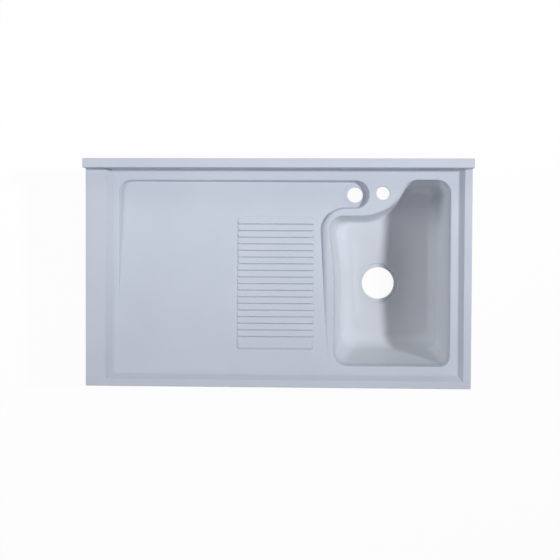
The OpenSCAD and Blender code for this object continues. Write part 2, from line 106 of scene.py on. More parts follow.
def grid_surface(grid: np.ndarray, round_u: bool = False, round_v: bool = False) -> Surface:
    """Joins a grid of points with four-sided faces.

    Face (v, u) uses the points (v, u), (v, u + 1), (v + 1, u + 1) and (v + 1, u), so it faces the side from
    which u runs left to right while v runs upwards.

    Args:
        grid: points as an array of shape (v, u, 3).
        round_u: whether the last column joins the first.
        round_v: whether the last row joins the first.

    Returns:
        The surface.
    """
    rows, columns = grid.shape[:2]
    u = np.arange(columns if round_u else columns - 1)
    v = np.arange(rows if round_v else rows - 1)[:, None]
    u_next, here, there = (u + 1) % columns, v * columns, (v + 1) % rows * columns
    quads = np.stack([here + u, here + u_next, there + u_next, there + u], axis=-1)
    return Surface(grid.reshape(-1, 3), [tuple(quad) for quad in quads.reshape(-1, 4).tolist()])


def lined(rings: np.ndarray) -> Surface:
    """The inner face of an opening, from its rings from the top down."""
    return grid_surface(rings, round_u=True).flipped()


def placed_points(x: np.ndarray | float, y: np.ndarray | float) -> np.ndarray:
    """Points in plan from their x and y, either of which may be one value for all."""
    return np.column_stack(np.broadcast_arrays(x, y))


def raised(plan: np.ndarray, z: np.ndarray | float) -> np.ndarray:
    """Points in plan lifted to a height, which is one value or one for each point."""
    return np.column_stack([plan, np.broadcast_to(z, len(plan))])


def inside(plan: np.ndarray, loop: np.ndarray) -> np.ndarray:
    """Tells which points lie inside a closed outline: a line towards +X crosses it an odd number of times.

    Args:
        plan: the points, shape (n, 2).
        loop: the outline, shape (m, 2).

    Returns:
        True or False for each point.
    """
    x, y = plan[:, :1], plan[:, 1:]
    x0, y0 = loop[:, 0], loop[:, 1]
    x1, y1 = np.roll(x0, -1), np.roll(y0, -1)
    spans = (y0 > y) != (y1 > y)
    rise = np.where(y1 == y0, 1.0, y1 - y0)
    return (spans & (x < x0 + (x1 - x0) * (y - y0) / rise)).sum(axis=1) % 2 == 1


def flat_fill(loops: Sequence[np.ndarray], height: Callable[[np.ndarray], np.ndarray]) -> Surface:
    """Fills the area inside the first outline and outside the others, facing up.

    Args:
        loops: closed outlines in plan, each of shape (n, 2).
        height: gives z for points of shape (n, 2).

    Returns:
        The filled area with its corners on the outlines' points.
    """
    points = [Vector(p) for loop in loops for p in loop.tolist()]
    edges, start = [], 0
    for loop in loops:
        ring = np.arange(len(loop))
        edges += np.stack([ring + start, (ring + 1) % len(loop) + start], axis=-1).tolist()
        start += len(loop)
    made = delaunay_2d_cdt(points, edges, [], 1, 1e-4)
    plan = np.array([tuple(p) for p in made[0]])
    faces = np.array(made[2])
    middle = plan[faces].mean(axis=1)
    kept = inside(middle, loops[0])
    for loop in loops[1:]:
        kept &= ~inside(middle, loop)
    return Surface(raised(plan, height(plan)), [tuple(face) for face in faces[kept].tolist()])


def level(z: float) -> Callable[[np.ndarray], np.ndarray]:
    """A height function that gives the same z everywhere."""
    return lambda plan: np.full(len(plan), z)


def smooth_step(t: np.ndarray | float) -> np.ndarray | float:
    """Ease from 0 to 1: three t squared less two t cubed, with t held between 0 and 1."""
    held = np.clip(t, 0.0, 1.0)
    return held * held * (3.0 - 2.0 * held)


def circle(centre: Sequence[float], radius: float, count: int = 96) -> np.ndarray:
    """Points of a circle in plan, anticlockwise from +X."""
    angle = np.arange(count) * TURN / count
    return np.array(centre) + radius * np.column_stack([np.cos(angle), np.sin(angle)])


def turned_rings(centre: Sequence[float], profile: Sequence[tuple[float, float]]) -> np.ndarray:
    """Rings of a turned shape: each radius and z of the profile carried round the centre."""
    return np.stack([raised(circle(centre, radius), z) for radius, z in profile])


def eased(radius: float, z: float, edge: float) -> list[tuple[float, float]]:
    """Radius and z of the rings on a hole's eased edge, from the face at z down."""
    return [(radius + edge, z), (radius + edge * CHORD, z - edge * CHORD), (radius, z - edge)]


def arc(centre: Sequence[float], radius: np.ndarray | float, span: tuple[float, float],
        count: int) -> tuple[np.ndarray, np.ndarray]:
    """Points of an arc at equal angles.

    Args:
        centre: the arc's middle.
        radius: one value, or one for each point.
        span: angles in degrees at which it starts and ends.
        count: number of points.

    Returns:
        The points and their directions from the centre, each of shape (count, 2).
    """
    turn = np.radians(np.linspace(*span, count))
    ray = np.column_stack([np.cos(turn), np.sin(turn)])
    return np.array(centre) + ray * np.reshape(radius, (-1, 1)), ray


@dataclass
class Outline:
    """A closed outline in plan, with what belongs to each of its points.

    Attributes:
        points: places, shape (n, 2).
        outward: unit directions that face away from the inside, shape (n, 2).
        side: number of the side that the point leaves, shape (n,).
        share: 0 on that side, 1 on the next one, and between them on the corner's arc.
    """

    points: np.ndarray
    outward: np.ndarray
    side: np.ndarray
    share: np.ndarray

    def blended(self, values: Sequence[float]) -> np.ndarray:
        """One value for each point from one value for each side, mixed along the corners' arcs."""
        held = np.asarray(values, dtype=float)
        return held[self.side] * (1.0 - self.share) + held[(self.side + 1) % len(held)] * self.share

    def grown(self, amount: np.ndarray | float) -> np.ndarray:
        """The points moved outwards by the amount."""
        return self.points + self.outward * np.reshape(amount, (-1, 1))


def moved_corners(corners: np.ndarray, insets: np.ndarray) -> np.ndarray:
    """Corners of an anticlockwise outline whose sides have moved inwards.

    Each side's line is shifted along its left normal, and each corner is where two of those lines meet.

    Args:
        corners: shape (n, 2); side k runs from corner k to the next.
        insets: how far each side moves.

    Returns:
        The new corners, shape (n, 2).
    """
    along = np.roll(corners, -1, axis=0) - corners
    along /= np.linalg.norm(along, axis=1, keepdims=True)
    start = corners + np.column_stack([-along[:, 1], along[:, 0]]) * insets[:, None]
    back, start_back = np.roll(along, 1, axis=0), np.roll(start, 1, axis=0)
    gap = start - start_back
    turn = back[:, 0] * along[:, 1] - back[:, 1] * along[:, 0]
    reach = (gap[:, 0] * along[:, 1] - gap[:, 1] * along[:, 0]) / turn
    return start_back + back * reach[:, None]


def corner_arc(places: np.ndarray, radius: float, steps: int) -> tuple[np.ndarray, np.ndarray]:
    """Rounds a corner with an arc that touches both sides.

    The arc's centre lies on the corner's bisector, at the radius divided by the sine of half the corner's
    angle. The points go round it by equal angles.

    Args:
        places: the place before the corner, the corner and the place after it, shape (3, 2).
        radius: the arc's radius.
        steps: steps on the arc.

    Returns:
        The arc's points, and directions that face away from the inside of an anticlockwise outline, each of
        shape (steps + 1, 2).
    """
    corner = places[1]
    to_last, to_next = places[0] - corner, places[2] - corner
    to_last, to_next = to_last / np.linalg.norm(to_last), to_next / np.linalg.norm(to_next)
    half = math.acos(float(np.clip(to_last @ to_next, -1.0, 1.0))) / 2.0
    bisector = (to_last + to_next) / np.linalg.norm(to_last + to_next)
    centre = corner + bisector * radius / math.sin(half)
    first = corner + to_last * radius / math.tan(half) - centre
    last = corner + to_next * radius / math.tan(half) - centre
    start = math.atan2(first[1], first[0])
    sweep = (math.atan2(last[1], last[0]) - start + math.pi) % TURN - math.pi
    angle = start + sweep * np.linspace(0.0, 1.0, steps + 1)
    ray = np.column_stack([np.cos(angle), np.sin(angle)])
    return centre + ray * radius, ray * (1.0 if sweep > 0 else -1.0)


def rounded_outline(corners: np.ndarray, radii: Sequence[float], arc_steps: Sequence[int],
                    side_steps: Sequence[int]) -> Outline:
    """Rounds the corners of an outline with arcs; points on a side lie at equal distances between two arcs.

    Args:
        corners: shape (n, 2).
        radii: one radius for each corner.
        arc_steps: steps on each corner's arc.
        side_steps: steps on the side after each corner.

    Returns:
        The outline, from the arc of the first corner on.
    """
    count = len(corners)
    arcs = [corner_arc(np.roll(corners, 1 - k, axis=0)[:3], radii[k], arc_steps[k]) for k in range(count)]
    points, outward, side, share = [], [], [], []
    for k, (arc, rays) in enumerate(arcs):
        t = np.arange(1, side_steps[k])[:, None] / side_steps[k]
        points += [arc, arc[-1] * (1.0 - t) + arcs[(k + 1) % count][0][0] * t]
        outward += [rays, np.repeat(rays[-1:], len(t), axis=0)]
        side.append(np.full(len(arc) + len(t), (k - 1) % count))
        share += [np.linspace(0.0, 1.0, len(arc)), np.ones(len(t))]
    return Outline(np.concatenate(points), np.concatenate(outward), np.concatenate(side),
                   np.concatenate(share))


def rounded_path(corners: Sequence[tuple[float, float]], radii: Sequence[float],
                 steps: int = 5) -> np.ndarray:
    """Rounds the inner corners of an open path; a radius of 0 keeps the corner.

    Args:
        corners: places of the corners.
        radii: one radius for each corner, of which the two ends are not used.
        steps: steps on each arc.

    Returns:
        The path's points, shape (n, 2).
    """
    held = np.array(corners, dtype=float)
    path = [held[:1]]
    for k in range(1, len(held) - 1):
        sharp = radii[k] <= 0.0
        path.append(held[k:k + 1] if sharp else corner_arc(held[k - 1:k + 2], radii[k], steps)[0])
    return np.concatenate([*path, held[-1:]])


def end_cap(section: np.ndarray, ring: np.ndarray) -> Surface:
    """Closes the end of a swept profile: it is filled in its own plane and its points go to the ring's.

    Args:
        section: the profile, shape (n, 2), anticlockwise.
        ring: where each of its points lies, shape (n, 3).

    Returns:
        The cap, whose faces run round in the profile's own direction.
    """
    made = delaunay_2d_cdt([Vector(p) for p in section.tolist()],
                           [(i, (i + 1) % len(section)) for i in range(len(section))], [], 1, 1e-5)
    origin = [held[0] for held in made[3]]
    return Surface(ring, [tuple(origin[i] for i in face) for face in made[2]])


def swept(section: np.ndarray, grid: np.ndarray) -> Surface:
    """Joins the rows of a swept profile and closes both ends.

    Args:
        section: the profile, shape (n, 2), anticlockwise.
        grid: its places along the way, shape (rows, n, 3).

    Returns:
        The closed surface.
    """
    return Surface.joined([grid_surface(grid, round_u=True), end_cap(section, grid[0]).flipped(),
                           end_cap(section, grid[-1])])


# Finishes

def linear_colour(code: str) -> tuple[float, float, float, float]:
    """Turns an sRGB hex colour into linear red, green, blue and alpha.

    Args:
        code: the colour, as #rrggbb.

    Returns:
        The linear colour with an alpha of 1.
    """
    parts = [int(code.lstrip("#")[i:i + 2], 16) / 255.0 for i in (0, 2, 4)]
    red, green, blue = (c / 12.92 if c <= 0.04045 else ((c + 0.055) / 1.055) ** 2.4 for c in parts)
    return red, green, blue, 1.0


def add_node(tree: bpy.types.NodeTree, kind: str, settings: dict[str, object] | None = None,
             **links: object) -> bpy.types.Node:
    """Adds a node to a tree.

    Args:
        tree: the node tree.
        kind: the node's type name.
        settings: attributes of the node.
        **links: sockets by name, with _ for a space, or by _ and number: a value, or a socket to link from.

    Returns:
        The new node.
    """
    node = tree.nodes.new(kind)
    for name, value in (settings or {}).items():
        setattr(node, name, value)
    for name, value in links.items():
        socket = node.inputs[int(name[1:])] if name[1:].isdigit() else node.inputs[name.replace("_", " ")]
        if isinstance(value, bpy.types.NodeSocket):
            tree.links.new(value, socket)
        else:
            socket.default_value = value
    return node


def blank_material(name: str) -> tuple[bpy.types.Material, bpy.types.NodeTree]:
    """Makes a material without nodes.

    Args:
        name: the material's name.

    Returns:
        The material and its empty node tree.
    """
    made = bpy.data.materials.new(name)
    made.use_nodes = True
    made.node_tree.nodes.clear()
    return made, made.node_tree


def per_metre(size_mm: float) -> float:
    """Scale of a pattern on Object coordinates whose features have the given size."""
    return 1.0 / (size_mm * MM)


@dataclass(frozen=True)
class CastStone:
    """Cast stone with a gel coat: mineral filler in clear resin, moulded face down and waxed.

    The coat gives a soft, slightly milky gloss and hides the filler but for faint clouds of tone. Where
    tools have rubbed the mould, the gloss varies in patches of a few centimetres.

    Attributes:
        name: the finish's name.
        tone: main colour.
        cloud: colour of the faint clouds.
        roughness: middle of the roughness.
        roughness_spread: how far the rubbed patches go to both sides of it.
        coat: weight of the clear gel coat.
        coat_roughness: roughness of the gel coat.
        cloud_mm: size of a cloud.
        rubbed_mm: size of a rubbed patch.
        grain_mm: size of the fine unevenness, drawn coarser than the real 0.1 mm so that it shows.
        grain_depth_mm: depth of that unevenness.
    """

    name: str
    tone: str
    cloud: str
    roughness: float = 0.5
    roughness_spread: float = 0.04
    coat: float = 0.12
    coat_roughness: float = 0.05
    cloud_mm: float = 140.0
    rubbed_mm: float = 49.0
    grain_mm: float = 9.0
    grain_depth_mm: float = 0.006

    def material(self) -> bpy.types.Material:
        """Builds the node material: noise for clouds, rubbed patches and grain drives tone, gloss and bump.

        Returns:
            The material.
        """
        made, tree = blank_material(self.name)
        place = add_node(tree, "ShaderNodeTexCoord").outputs["Object"]
        clouds = add_node(tree, "ShaderNodeTexNoise", Vector=place, Scale=per_metre(self.cloud_mm),
                          Detail=4.0, Roughness=0.55)
        rubbed = add_node(tree, "ShaderNodeTexNoise", Vector=place, Scale=per_metre(self.rubbed_mm),
                          Detail=2.0, Roughness=0.5)
        grain = add_node(tree, "ShaderNodeTexNoise", Vector=place, Scale=per_metre(self.grain_mm),
                         Detail=2.0, Roughness=0.6)
        share = add_node(tree, "ShaderNodeMapRange", Value=clouds.outputs[0], From_Min=0.3, From_Max=0.7,
                         To_Min=0.0, To_Max=1.0)
        colour = add_node(tree, "ShaderNodeMix", {"data_type": "RGBA"}, Factor=share.outputs[0],
                          _6=linear_colour(self.tone), _7=linear_colour(self.cloud))
        gloss = add_node(tree, "ShaderNodeMapRange", Value=rubbed.outputs[0], From_Min=0.3, From_Max=0.7,
                         To_Min=self.roughness - self.roughness_spread,
                         To_Max=self.roughness + self.roughness_spread)
        bump = add_node(tree, "ShaderNodeBump", Strength=1.0, Distance=self.grain_depth_mm * MM,
                        Height=grain.outputs[0])
        shader = add_node(tree, "ShaderNodeBsdfPrincipled", Base_Color=colour.outputs[2],
                          Roughness=gloss.outputs[0], IOR=1.5, Coat_Weight=self.coat,
                          Coat_Roughness=self.coat_roughness, Normal=bump.outputs[0])
        add_node(tree, "ShaderNodeOutputMaterial", Surface=shader.outputs[0])
        return made


@dataclass(frozen=True)
class SawnStone:
    """Cast stone as sawn, without a coat: dull and a little darker, with fine parallel marks of the saw.

    Attributes:
        name: the finish's name.
        tone: main colour.
        mark: colour in the saw's marks.
        filler_mm: size of the filler's grains with their resin.
        band_mm: size of the band pattern, whose marks repeat along each axis at 0.63 of it; they are drawn
            coarser than the real 3 mm so that they show.
        mark_depth_mm: depth of a mark.
        roughness: roughness of the sawn face.
    """

    name: str
    tone: str
    mark: str
    filler_mm: float = 4.0
    band_mm: float = 60.0
    mark_depth_mm: float = 0.05
    roughness: float = 0.72

    def material(self) -> bpy.types.Material:
        """Builds the node material: the saw's marks, broken up by the filler, drive tone and bump.

        Returns:
            The material.
        """
        made, tree = blank_material(self.name)
        place = add_node(tree, "ShaderNodeTexCoord").outputs["Object"]
        filler = add_node(tree, "ShaderNodeTexNoise", Vector=place, Scale=per_metre(self.filler_mm),
                          Detail=5.0, Roughness=0.7)
        marks = add_node(tree, "ShaderNodeTexWave", {"wave_type": "BANDS", "bands_direction": "DIAGONAL"},
                         Vector=place, Scale=per_metre(self.band_mm), Distortion=2.5, Detail=2.0)
        blend = add_node(tree, "ShaderNodeMath", {"operation": "MULTIPLY"}, _0=filler.outputs[0],
                         _1=marks.outputs[1])
        colour = add_node(tree, "ShaderNodeMix", {"data_type": "RGBA"}, Factor=blend.outputs[0],
                          _6=linear_colour(self.tone), _7=linear_colour(self.mark))
        bump = add_node(tree, "ShaderNodeBump", Strength=1.0, Distance=self.mark_depth_mm * MM,
                        Height=blend.outputs[0])
        shader = add_node(tree, "ShaderNodeBsdfPrincipled", Base_Color=colour.outputs[2],
                          Roughness=self.roughness, IOR=1.5, Normal=bump.outputs[0])
        add_node(tree, "ShaderNodeOutputMaterial", Surface=shader.outputs[0])
        return made


@dataclass(frozen=True)
class RolledSteel:
    """Stainless sheet as rolled and cut: grey metal whose fine streaks run along the sheet.

    Attributes:
        name: the finish's name.
        tone: colour of the metal.
        streak_mm: width of a streak.
        stretch: length of a streak in widths.
        streak_depth_mm: depth of a streak.
    """

    name: str
    tone: str
    streak_mm: float = 0.8
    stretch: float = 12.0
    streak_depth_mm: float = 0.01

    def material(self) -> bpy.types.Material:
        """Builds the node material: noise drawn out along X gives the streaks in gloss and bump.

        Returns:
            The material.
        """
        made, tree = blank_material(self.name)
        place = add_node(tree, "ShaderNodeTexCoord").outputs["Object"]
        drawn = add_node(tree, "ShaderNodeMapping", Vector=place, Scale=(1.0, self.stretch, self.stretch))
        streaks = add_node(tree, "ShaderNodeTexNoise", Vector=drawn.outputs[0],
                           Scale=per_metre(self.streak_mm * self.stretch), Detail=3.0)
        gloss = add_node(tree, "ShaderNodeMapRange", Value=streaks.outputs[0], From_Min=0.3, From_Max=0.7,
                         To_Min=0.28, To_Max=0.46)
        bump = add_node(tree, "ShaderNodeBump", Strength=1.0, Distance=self.streak_depth_mm * MM,
                        Height=streaks.outputs[0])
        shader = add_node(tree, "ShaderNodeBsdfPrincipled", Base_Color=linear_colour(self.tone),
                          Metallic=1.0, Roughness=gloss.outputs[0], Normal=bump.outputs[0])
        add_node(tree, "ShaderNodeOutputMaterial", Surface=shader.outputs[0])
        return made


class Finish(Enum):
    """The object's finishes, each with the record's material slot that it belongs to."""

    SLAB = ("stone", CastStone("slab_gel_coat", "#c2c9d6", "#bec5d3"))
    RAISED = ("stone_raised", CastStone("raised_gel_coat", "#c2c9d5", "#bec5d2"))
    # The bowl is the same stone as the slab, but its tone and clouds are paler and greyer: painted bounce
    # light that lifts its shaded walls and greys the shade inside it.
    BOWL = ("stone_bowl", CastStone("bowl_gel_coat_painted_bounce", "#d2d6dd", "#ced2da", coat=0.3))
    UNDER = ("stone_under", SawnStone("sawn_underside", "#b9bfca", "#a9afbb"))
    EDGE = ("stone_under", CastStone("apron_gel_coat", "#bfc5d0", "#bbc1cd"))
    STEEL = ("steel", RolledSteel("clip_steel", "#a9aeb4"))

    def __init__(self, slot: str, look: CastStone | SawnStone | RolledSteel) -> None:
        """Keeps the slot and the look apart."""
        self.slot = slot
        self.look = look


MATERIALS: dict[Finish, bpy.types.Material] = {}


def finish_material(finish: Finish) -> bpy.types.Material:
    """The material of a finish, made on its first use.

    Args:
        finish: the finish.

    Returns:
        Its material.
    """
    if finish not in MATERIALS:
        MATERIALS[finish] = finish.look.material()
    return MATERIALS[finish]


def make_piece(name: str, surface: Surface, finish: Finish, nodes: Sequence[str],
               crease: float = 32.0) -> bpy.types.Object:
    """Turns a surface into a piece of the object that stands for its CAD nodes.

    Args:
        name: the piece's name.
        surface: its closed surface in millimetres.
        finish: what it is made of.
        nodes: the CAD nodes that it replaces.
        crease: edges that turn by more degrees than this stay sharp.

    Returns:
        The new object.
    """
    mesh = bpy.data.meshes.new(name)
    mesh.from_pydata(surface.points * MM, [], surface.faces)
    work = bmesh.new()
    work.from_mesh(mesh)
    bmesh.ops.remove_doubles(work, verts=work.verts, dist=MERGED * MM)
    bmesh.ops.dissolve_degenerate(work, dist=SLIVER * MM, edges=work.edges)
    bmesh.ops.delete(work, geom=[edge for edge in work.edges if not edge.link_faces], context="EDGES")
    bmesh.ops.recalc_face_normals(work, faces=work.faces)
    open_edges = sum(1 for edge in work.edges if not edge.is_manifold)
    work.to_mesh(mesh)
    work.free()
    mesh.shade_smooth()
    mesh.set_sharp_from_angle(angle=math.radians(crease))
    piece = bpy.data.objects.new(name, mesh)
    bpy.context.scene.collection.objects.link(piece)
    evened = piece.modifiers.new("even_shading", "WEIGHTED_NORMAL")
    evened.keep_sharp = True
    mesh.materials.append(finish_material(finish))
    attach(piece, "root")
    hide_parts(*nodes)
    LOG.info("%s: %d faces, %d open edges", name, len(mesh.polygons), open_edges)
    return piece


# Shared sizes

@dataclass(frozen=True)
class TopSizes:
    """Sizes of the top that several pieces share, in millimetres.

    Attributes:
        apron: height of the aprons, which is the slab's height above the rest.
        corner: radius of the front corners in plan.
        splash_height, rim: heights of the splashback and the rims above the deck.
        feather: thickness to which coves run out on the deck.
    """

    width: float = 1000.0
    depth: float = 590.0
    slab: float = 25.0
    apron: float = 20.0
    corner: float = 4.0
    splash: float = 24.0
    splash_height: float = 55.0
    rim: float = 15.0
    rim_slope: float = 14.0
    feather: float = 0.04

    @property
    def deck(self) -> float:
        """Height of the deck."""
        return self.slab + self.apron

    @property
    def half(self) -> float:
        """Half of the width."""
        return self.width / 2.0


TOP = TopSizes()


@dataclass(frozen=True)
class BowlShape:
    """Plan of the bowl at every depth below the deck, from its opening to its floor.

    The opening is a polygon with rounded corners. Further down each side moves inwards by its lean times
    the depth, and on the rounding at the foot also by its reach. Sides and corners go anticlockwise from the
    front left, and the last seven tuples have one value for each of them.

    Attributes:
        bulge, bulge_end: how far the left side stands out, and the line behind which it does.
        nose, lobe: x of the slanting side beside the tap, at the ledge's front and at the rear.
        fall, fillet: how far the floor falls to the drain's seat, and the rounding's height at the foot.
        drain_edge, drain_chord: eased edge of the drain's hole, and its middle row: across and down.
        seat_edge, seat_bevel: width of the bevel round the seat, and its rows as shares of it.
        seat_foot, boss: bevel at the seat's foot, and how far the outer face is level round the seat.
        first_left: number of the first of the two sides on the left.
    """

    left: float = 146.0
    right: float = 446.0
    rear: float = -51.0
    front: float = -534.0
    bulge: float = 16.0
    bulge_end: float = -295.0
    ledge: float = -145.0
    nose: float = 287.1
    lobe: float = 341.4
    depth: float = 190.0
    fall: float = 6.0
    fillet: float = 38.0
    thickness: float = 8.0
    flange: float = 15.0
    drain: tuple[float, float] = (269.5, -324.0)
    drain_radius: float = 44.0
    drain_edge: float = 0.8
    drain_chord: tuple[float, float] = (0.2, 0.25)
    seat_radius: float = 54.0
    seat_depth: float = 5.0
    seat_edge: float = 2.5
    seat_bevel: tuple[tuple[float, float], ...] = ((0.1, 0.9), (0.0, 1.3))
    seat_foot: float = 0.5
    boss: float = 6.0
    first_left: int = 5
    radii_top: tuple[float, ...] = (36.0, 27.0, 36.0, 34.0, 118.0, 36.0, 400.0)
    radii_floor: tuple[float, ...] = (44.0, 34.0, 28.0, 26.0, 119.0, 34.0, 400.0)
    lean: tuple[float, ...] = (0.2, 0.11, 0.05, 0.05, 0.03, 0.12, 0.13)
    reach: tuple[float, ...] = (36.0, 23.0, 16.0, 10.0, 8.0, 28.0, 30.0)
    lips: tuple[float, ...] = (3.0, 3.0, 3.0, 10.0, 4.0, 3.0, 3.0)
    arc_steps: tuple[int, ...] = (14, 14, 14, 10, 26, 14, 6)
    side_steps: tuple[int, ...] = (22, 36, 8, 3, 8, 10, 20)

    def corners(self) -> np.ndarray:
        """Corners of the opening before they are rounded.

        Returns:
            The corners, shape (7, 2).
        """
        return np.array([(self.left, self.front), (self.right, self.front), (self.right, self.rear),
                         (self.lobe, self.rear), (self.nose, self.ledge),
                         (self.left - self.bulge, self.ledge), (self.left, self.bulge_end)])

    def outline(self, depth: float, footing: float = 0.0) -> Outline:
        """Outline of the wall at a depth.

        Args:
            depth: distance below the deck.
            footing: share of the rounding's reach, 0 on the wall and 1 where the floor begins.

        Returns:
            The rounded outline.
        """
        part = depth / self.depth
        insets = np.array(self.lean) * depth + np.array(self.reach) * footing
        radii = np.array(self.radii_top) * (1.0 - part) + np.array(self.radii_floor) * part
        corners = moved_corners(self.corners(), insets)
        return rounded_outline(corners, radii.tolist(), self.arc_steps, self.side_steps)


BOWL = BowlShape()


@dataclass(frozen=True)
class PlatformShape:
    """The sunk platform left of the bowl: a plane that falls to a pocket with its own drain.

    Its outline is given by the upper edge of the wall round it, and the wall's foot lies inside that edge by
    the wall's width. In front the outline ends on the line where the plane comes out on the deck.

    Attributes:
        pocket, pocket_start: radius of the end round the drain, and the angle at which it starts.
        bend, bend_end: radius that the bend between pocket and bowl reaches, and its end angle.
        end_x, ridge_x: x of the edge beside the bowl, in front and at the bend.
        lip_gap: least distance of that edge from the bowl's lip.
        ridge_shoulder, edge_shoulder: width of the shoulder beside the bowl and on the other sides.
        front_share: share of the shoulder beside the bowl that is left in front.
        shoulder_slope, edge_slope: mean slopes of the broad and of the narrow shoulder.
        shoulder_blend: growth of the shoulder over which one slope passes into the other.
        foot, foot_width: height of the rounding at the foot, and its width as a share of that.
        least_depth: below this the platform has no wall.
        points: numbers of points on pocket, rear, corner, left side, front line, ridge and bend.
    """

    left: float = -416.0
    rear: float = -51.0
    corner: float = 33.0
    drain: tuple[float, float] = (200.0, -89.0)
    drain_radius: float = 20.0
    seat_radius: float = 29.0
    seat_depth: float = 2.5
    seat_foot: float = 0.6
    pocket: float = 38.0
    pocket_start: float = -84.0
    depth: float = 17.0
    fall_rear: float = 2.2
    fall_right: float = 0.55
    bend_centre: tuple[float, float] = (175.0, -187.0)
    bend: float = 60.0
    bend_end: float = 96.0
    end_x: float = 131.6
    ridge_x: float = 129.2
    lip_gap: float = 0.6
    ridge_shoulder: float = 12.2
    edge_shoulder: float = 1.6
    front_share: float = 0.42
    shoulder_slope: float = 0.5
    edge_slope: float = 0.7
    shoulder_blend: float = 3.0
    shoulder_power: float = 1.6
    wall_slope: float = 0.24
    foot: float = 1.6
    foot_width: float = 0.6
    least_depth: float = 0.02
    points: tuple[int, ...] = (44, 70, 16, 36, 40, 70, 22)

    def plane(self, plan: np.ndarray) -> np.ndarray:
        """Height of the falling plane at points of shape (n, 2)."""
        slope = np.tan(np.radians([self.fall_right, self.fall_rear]))
        return TOP.deck - self.depth - (plan - np.array(self.drain)) @ slope

    def surfacing(self, x: np.ndarray | float) -> np.ndarray | float:
        """The y at which the plane comes out on the deck, for an x."""
        across, along = math.tan(math.radians(self.fall_right)), math.tan(math.radians(self.fall_rear))
        return self.drain[1] - (self.depth + (x - self.drain[0]) * across) / along

    def ridge(self, count: int) -> tuple[np.ndarray, np.ndarray]:
        """Edge beside the bowl: a straight line that gives way where it would come too near the bowl's lip.

        Args:
            count: number of points, with the one at the bend, which is left out.

        Returns:
            The points from front to rear, shape (count - 1, 2), and how far along the edge each one lies.
        """
        last = self.surfacing(self.end_x)
        y = np.linspace(last, self.bend_centre[1], count)[:-1]
        share = (y - last) / (y[-1] - last)
        lip = BOWL.outline(0.0)
        near = lip.grown(lip.blended(BOWL.lips) + self.lip_gap)[lip.side >= BOWL.first_left]
        near = near[np.argsort(near[:, 1])]
        straight = self.end_x + (self.ridge_x - self.end_x) * share
        return placed_points(np.minimum(straight, np.interp(y, near[:, 1], near[:, 0])), y), share

    def edge(self) -> tuple[np.ndarray, np.ndarray, np.ndarray]:
        """Upper edge of the wall, anticlockwise from the pocket's front.

        Returns:
            Points, outward directions, both of shape (n, 2), and the shoulder's width at each point.
        """
        narrow, broad = self.edge_shoulder, self.ridge_shoulder
        on_pocket, on_rear, on_corner, on_left, on_front, on_ridge, on_bend = self.points
        turn = np.array([self.left + self.corner, self.rear - self.corner])
        pocket, pocket_ray = arc(self.drain, self.pocket, (self.pocket_start, 90.0), on_pocket)
        rear_x = np.linspace(self.drain[0], turn[0], on_rear)[1:-1]
        corner, corner_ray = arc(turn, self.corner, (90.0, 180.0), on_corner)
        left_y = np.linspace(turn[1], self.surfacing(self.left), on_left)[1:]
        front_x = np.linspace(self.left, self.end_x, on_front)[1:-1]
        ridge, share = self.ridge(on_ridge)
        part = np.linspace(1.0, 0.0, on_bend)
        radius = self.bend - (self.bend - self.bend_centre[0] + ridge[-1, 0]) * part
        bend, bend_ray = arc(self.bend_centre, radius, (180.0, self.bend_end), on_bend)
        pieces = (
            (pocket, pocket_ray, narrow),
            (placed_points(rear_x, self.rear), (0.0, 1.0), narrow),
            (corner, corner_ray, narrow),
            (placed_points(self.left, left_y), (-1.0, 0.0), narrow),
            (placed_points(front_x, self.surfacing(front_x)), (0.0, -1.0), 0.0),
            (ridge, (1.0, 0.0), broad * (self.front_share + (1.0 - self.front_share) * share)),
            (bend, -bend_ray, narrow + (broad - narrow) * part),
        )
        points = [piece[0] for piece in pieces]
        outward = [np.broadcast_to(piece[1], piece[0].shape) for piece in pieces]
        shoulder = [np.broadcast_to(piece[2], len(piece[0])) for piece in pieces]
        return np.concatenate(points), np.concatenate(outward), np.concatenate(shoulder)

    def wall(self) -> np.ndarray:
        """Wall round the platform: a rounded shoulder, a steep face and a small rounding at its foot.

        Across the wall the shoulder drops by a power of the way along it. It ends where it has dropped by
        its mean slope times its width, or on the plane if that is reached first. The steep face then falls
        to the plane, and the rounding at its foot runs out by a square. As the plane's height at the foot
        depends on the wall's width, both are worked out in a few rounds. The broad shoulder beside the bowl
        is flatter than the narrow one along the other sides.

        Returns:
            A grid of shape (steps, points, 3) from the upper edge to the foot.
        """
        edge, outward, shoulder = self.edge()
        flatter = smooth_step((shoulder - self.edge_shoulder) / self.shoulder_blend)
        slope = self.edge_slope + (self.shoulder_slope - self.edge_slope) * flatter
        width = np.zeros(len(edge))
        for _ in range(4):
            depth = np.maximum(TOP.deck - self.plane(edge - outward * width[:, None]), 0.0)
            depth[depth < self.least_depth] = 0.0
            broad = np.minimum(shoulder, depth / slope)
            fall = np.minimum(broad * slope, depth)
            steep = depth - fall
            foot = np.minimum(self.foot, steep)
            width = broad + steep * self.wall_slope + foot * self.foot_width
        rows = [(broad * t, fall * t ** self.shoulder_power) for t in np.linspace(0.0, 1.0, 8)]
        rows += [(broad + steep * self.wall_slope * t, fall + (steep - foot) * t) for t in (0.5, 1.0)]
        rows += [(width - foot * self.foot_width * (1.0 - t), depth - foot * (1.0 - t) ** 2)
                 for t in (0.3, 0.6, 1.0)]
        return np.stack([raised(edge - outward * across[:, None], TOP.deck - down)
                         for across, down in rows])


PLATFORM = PlatformShape()


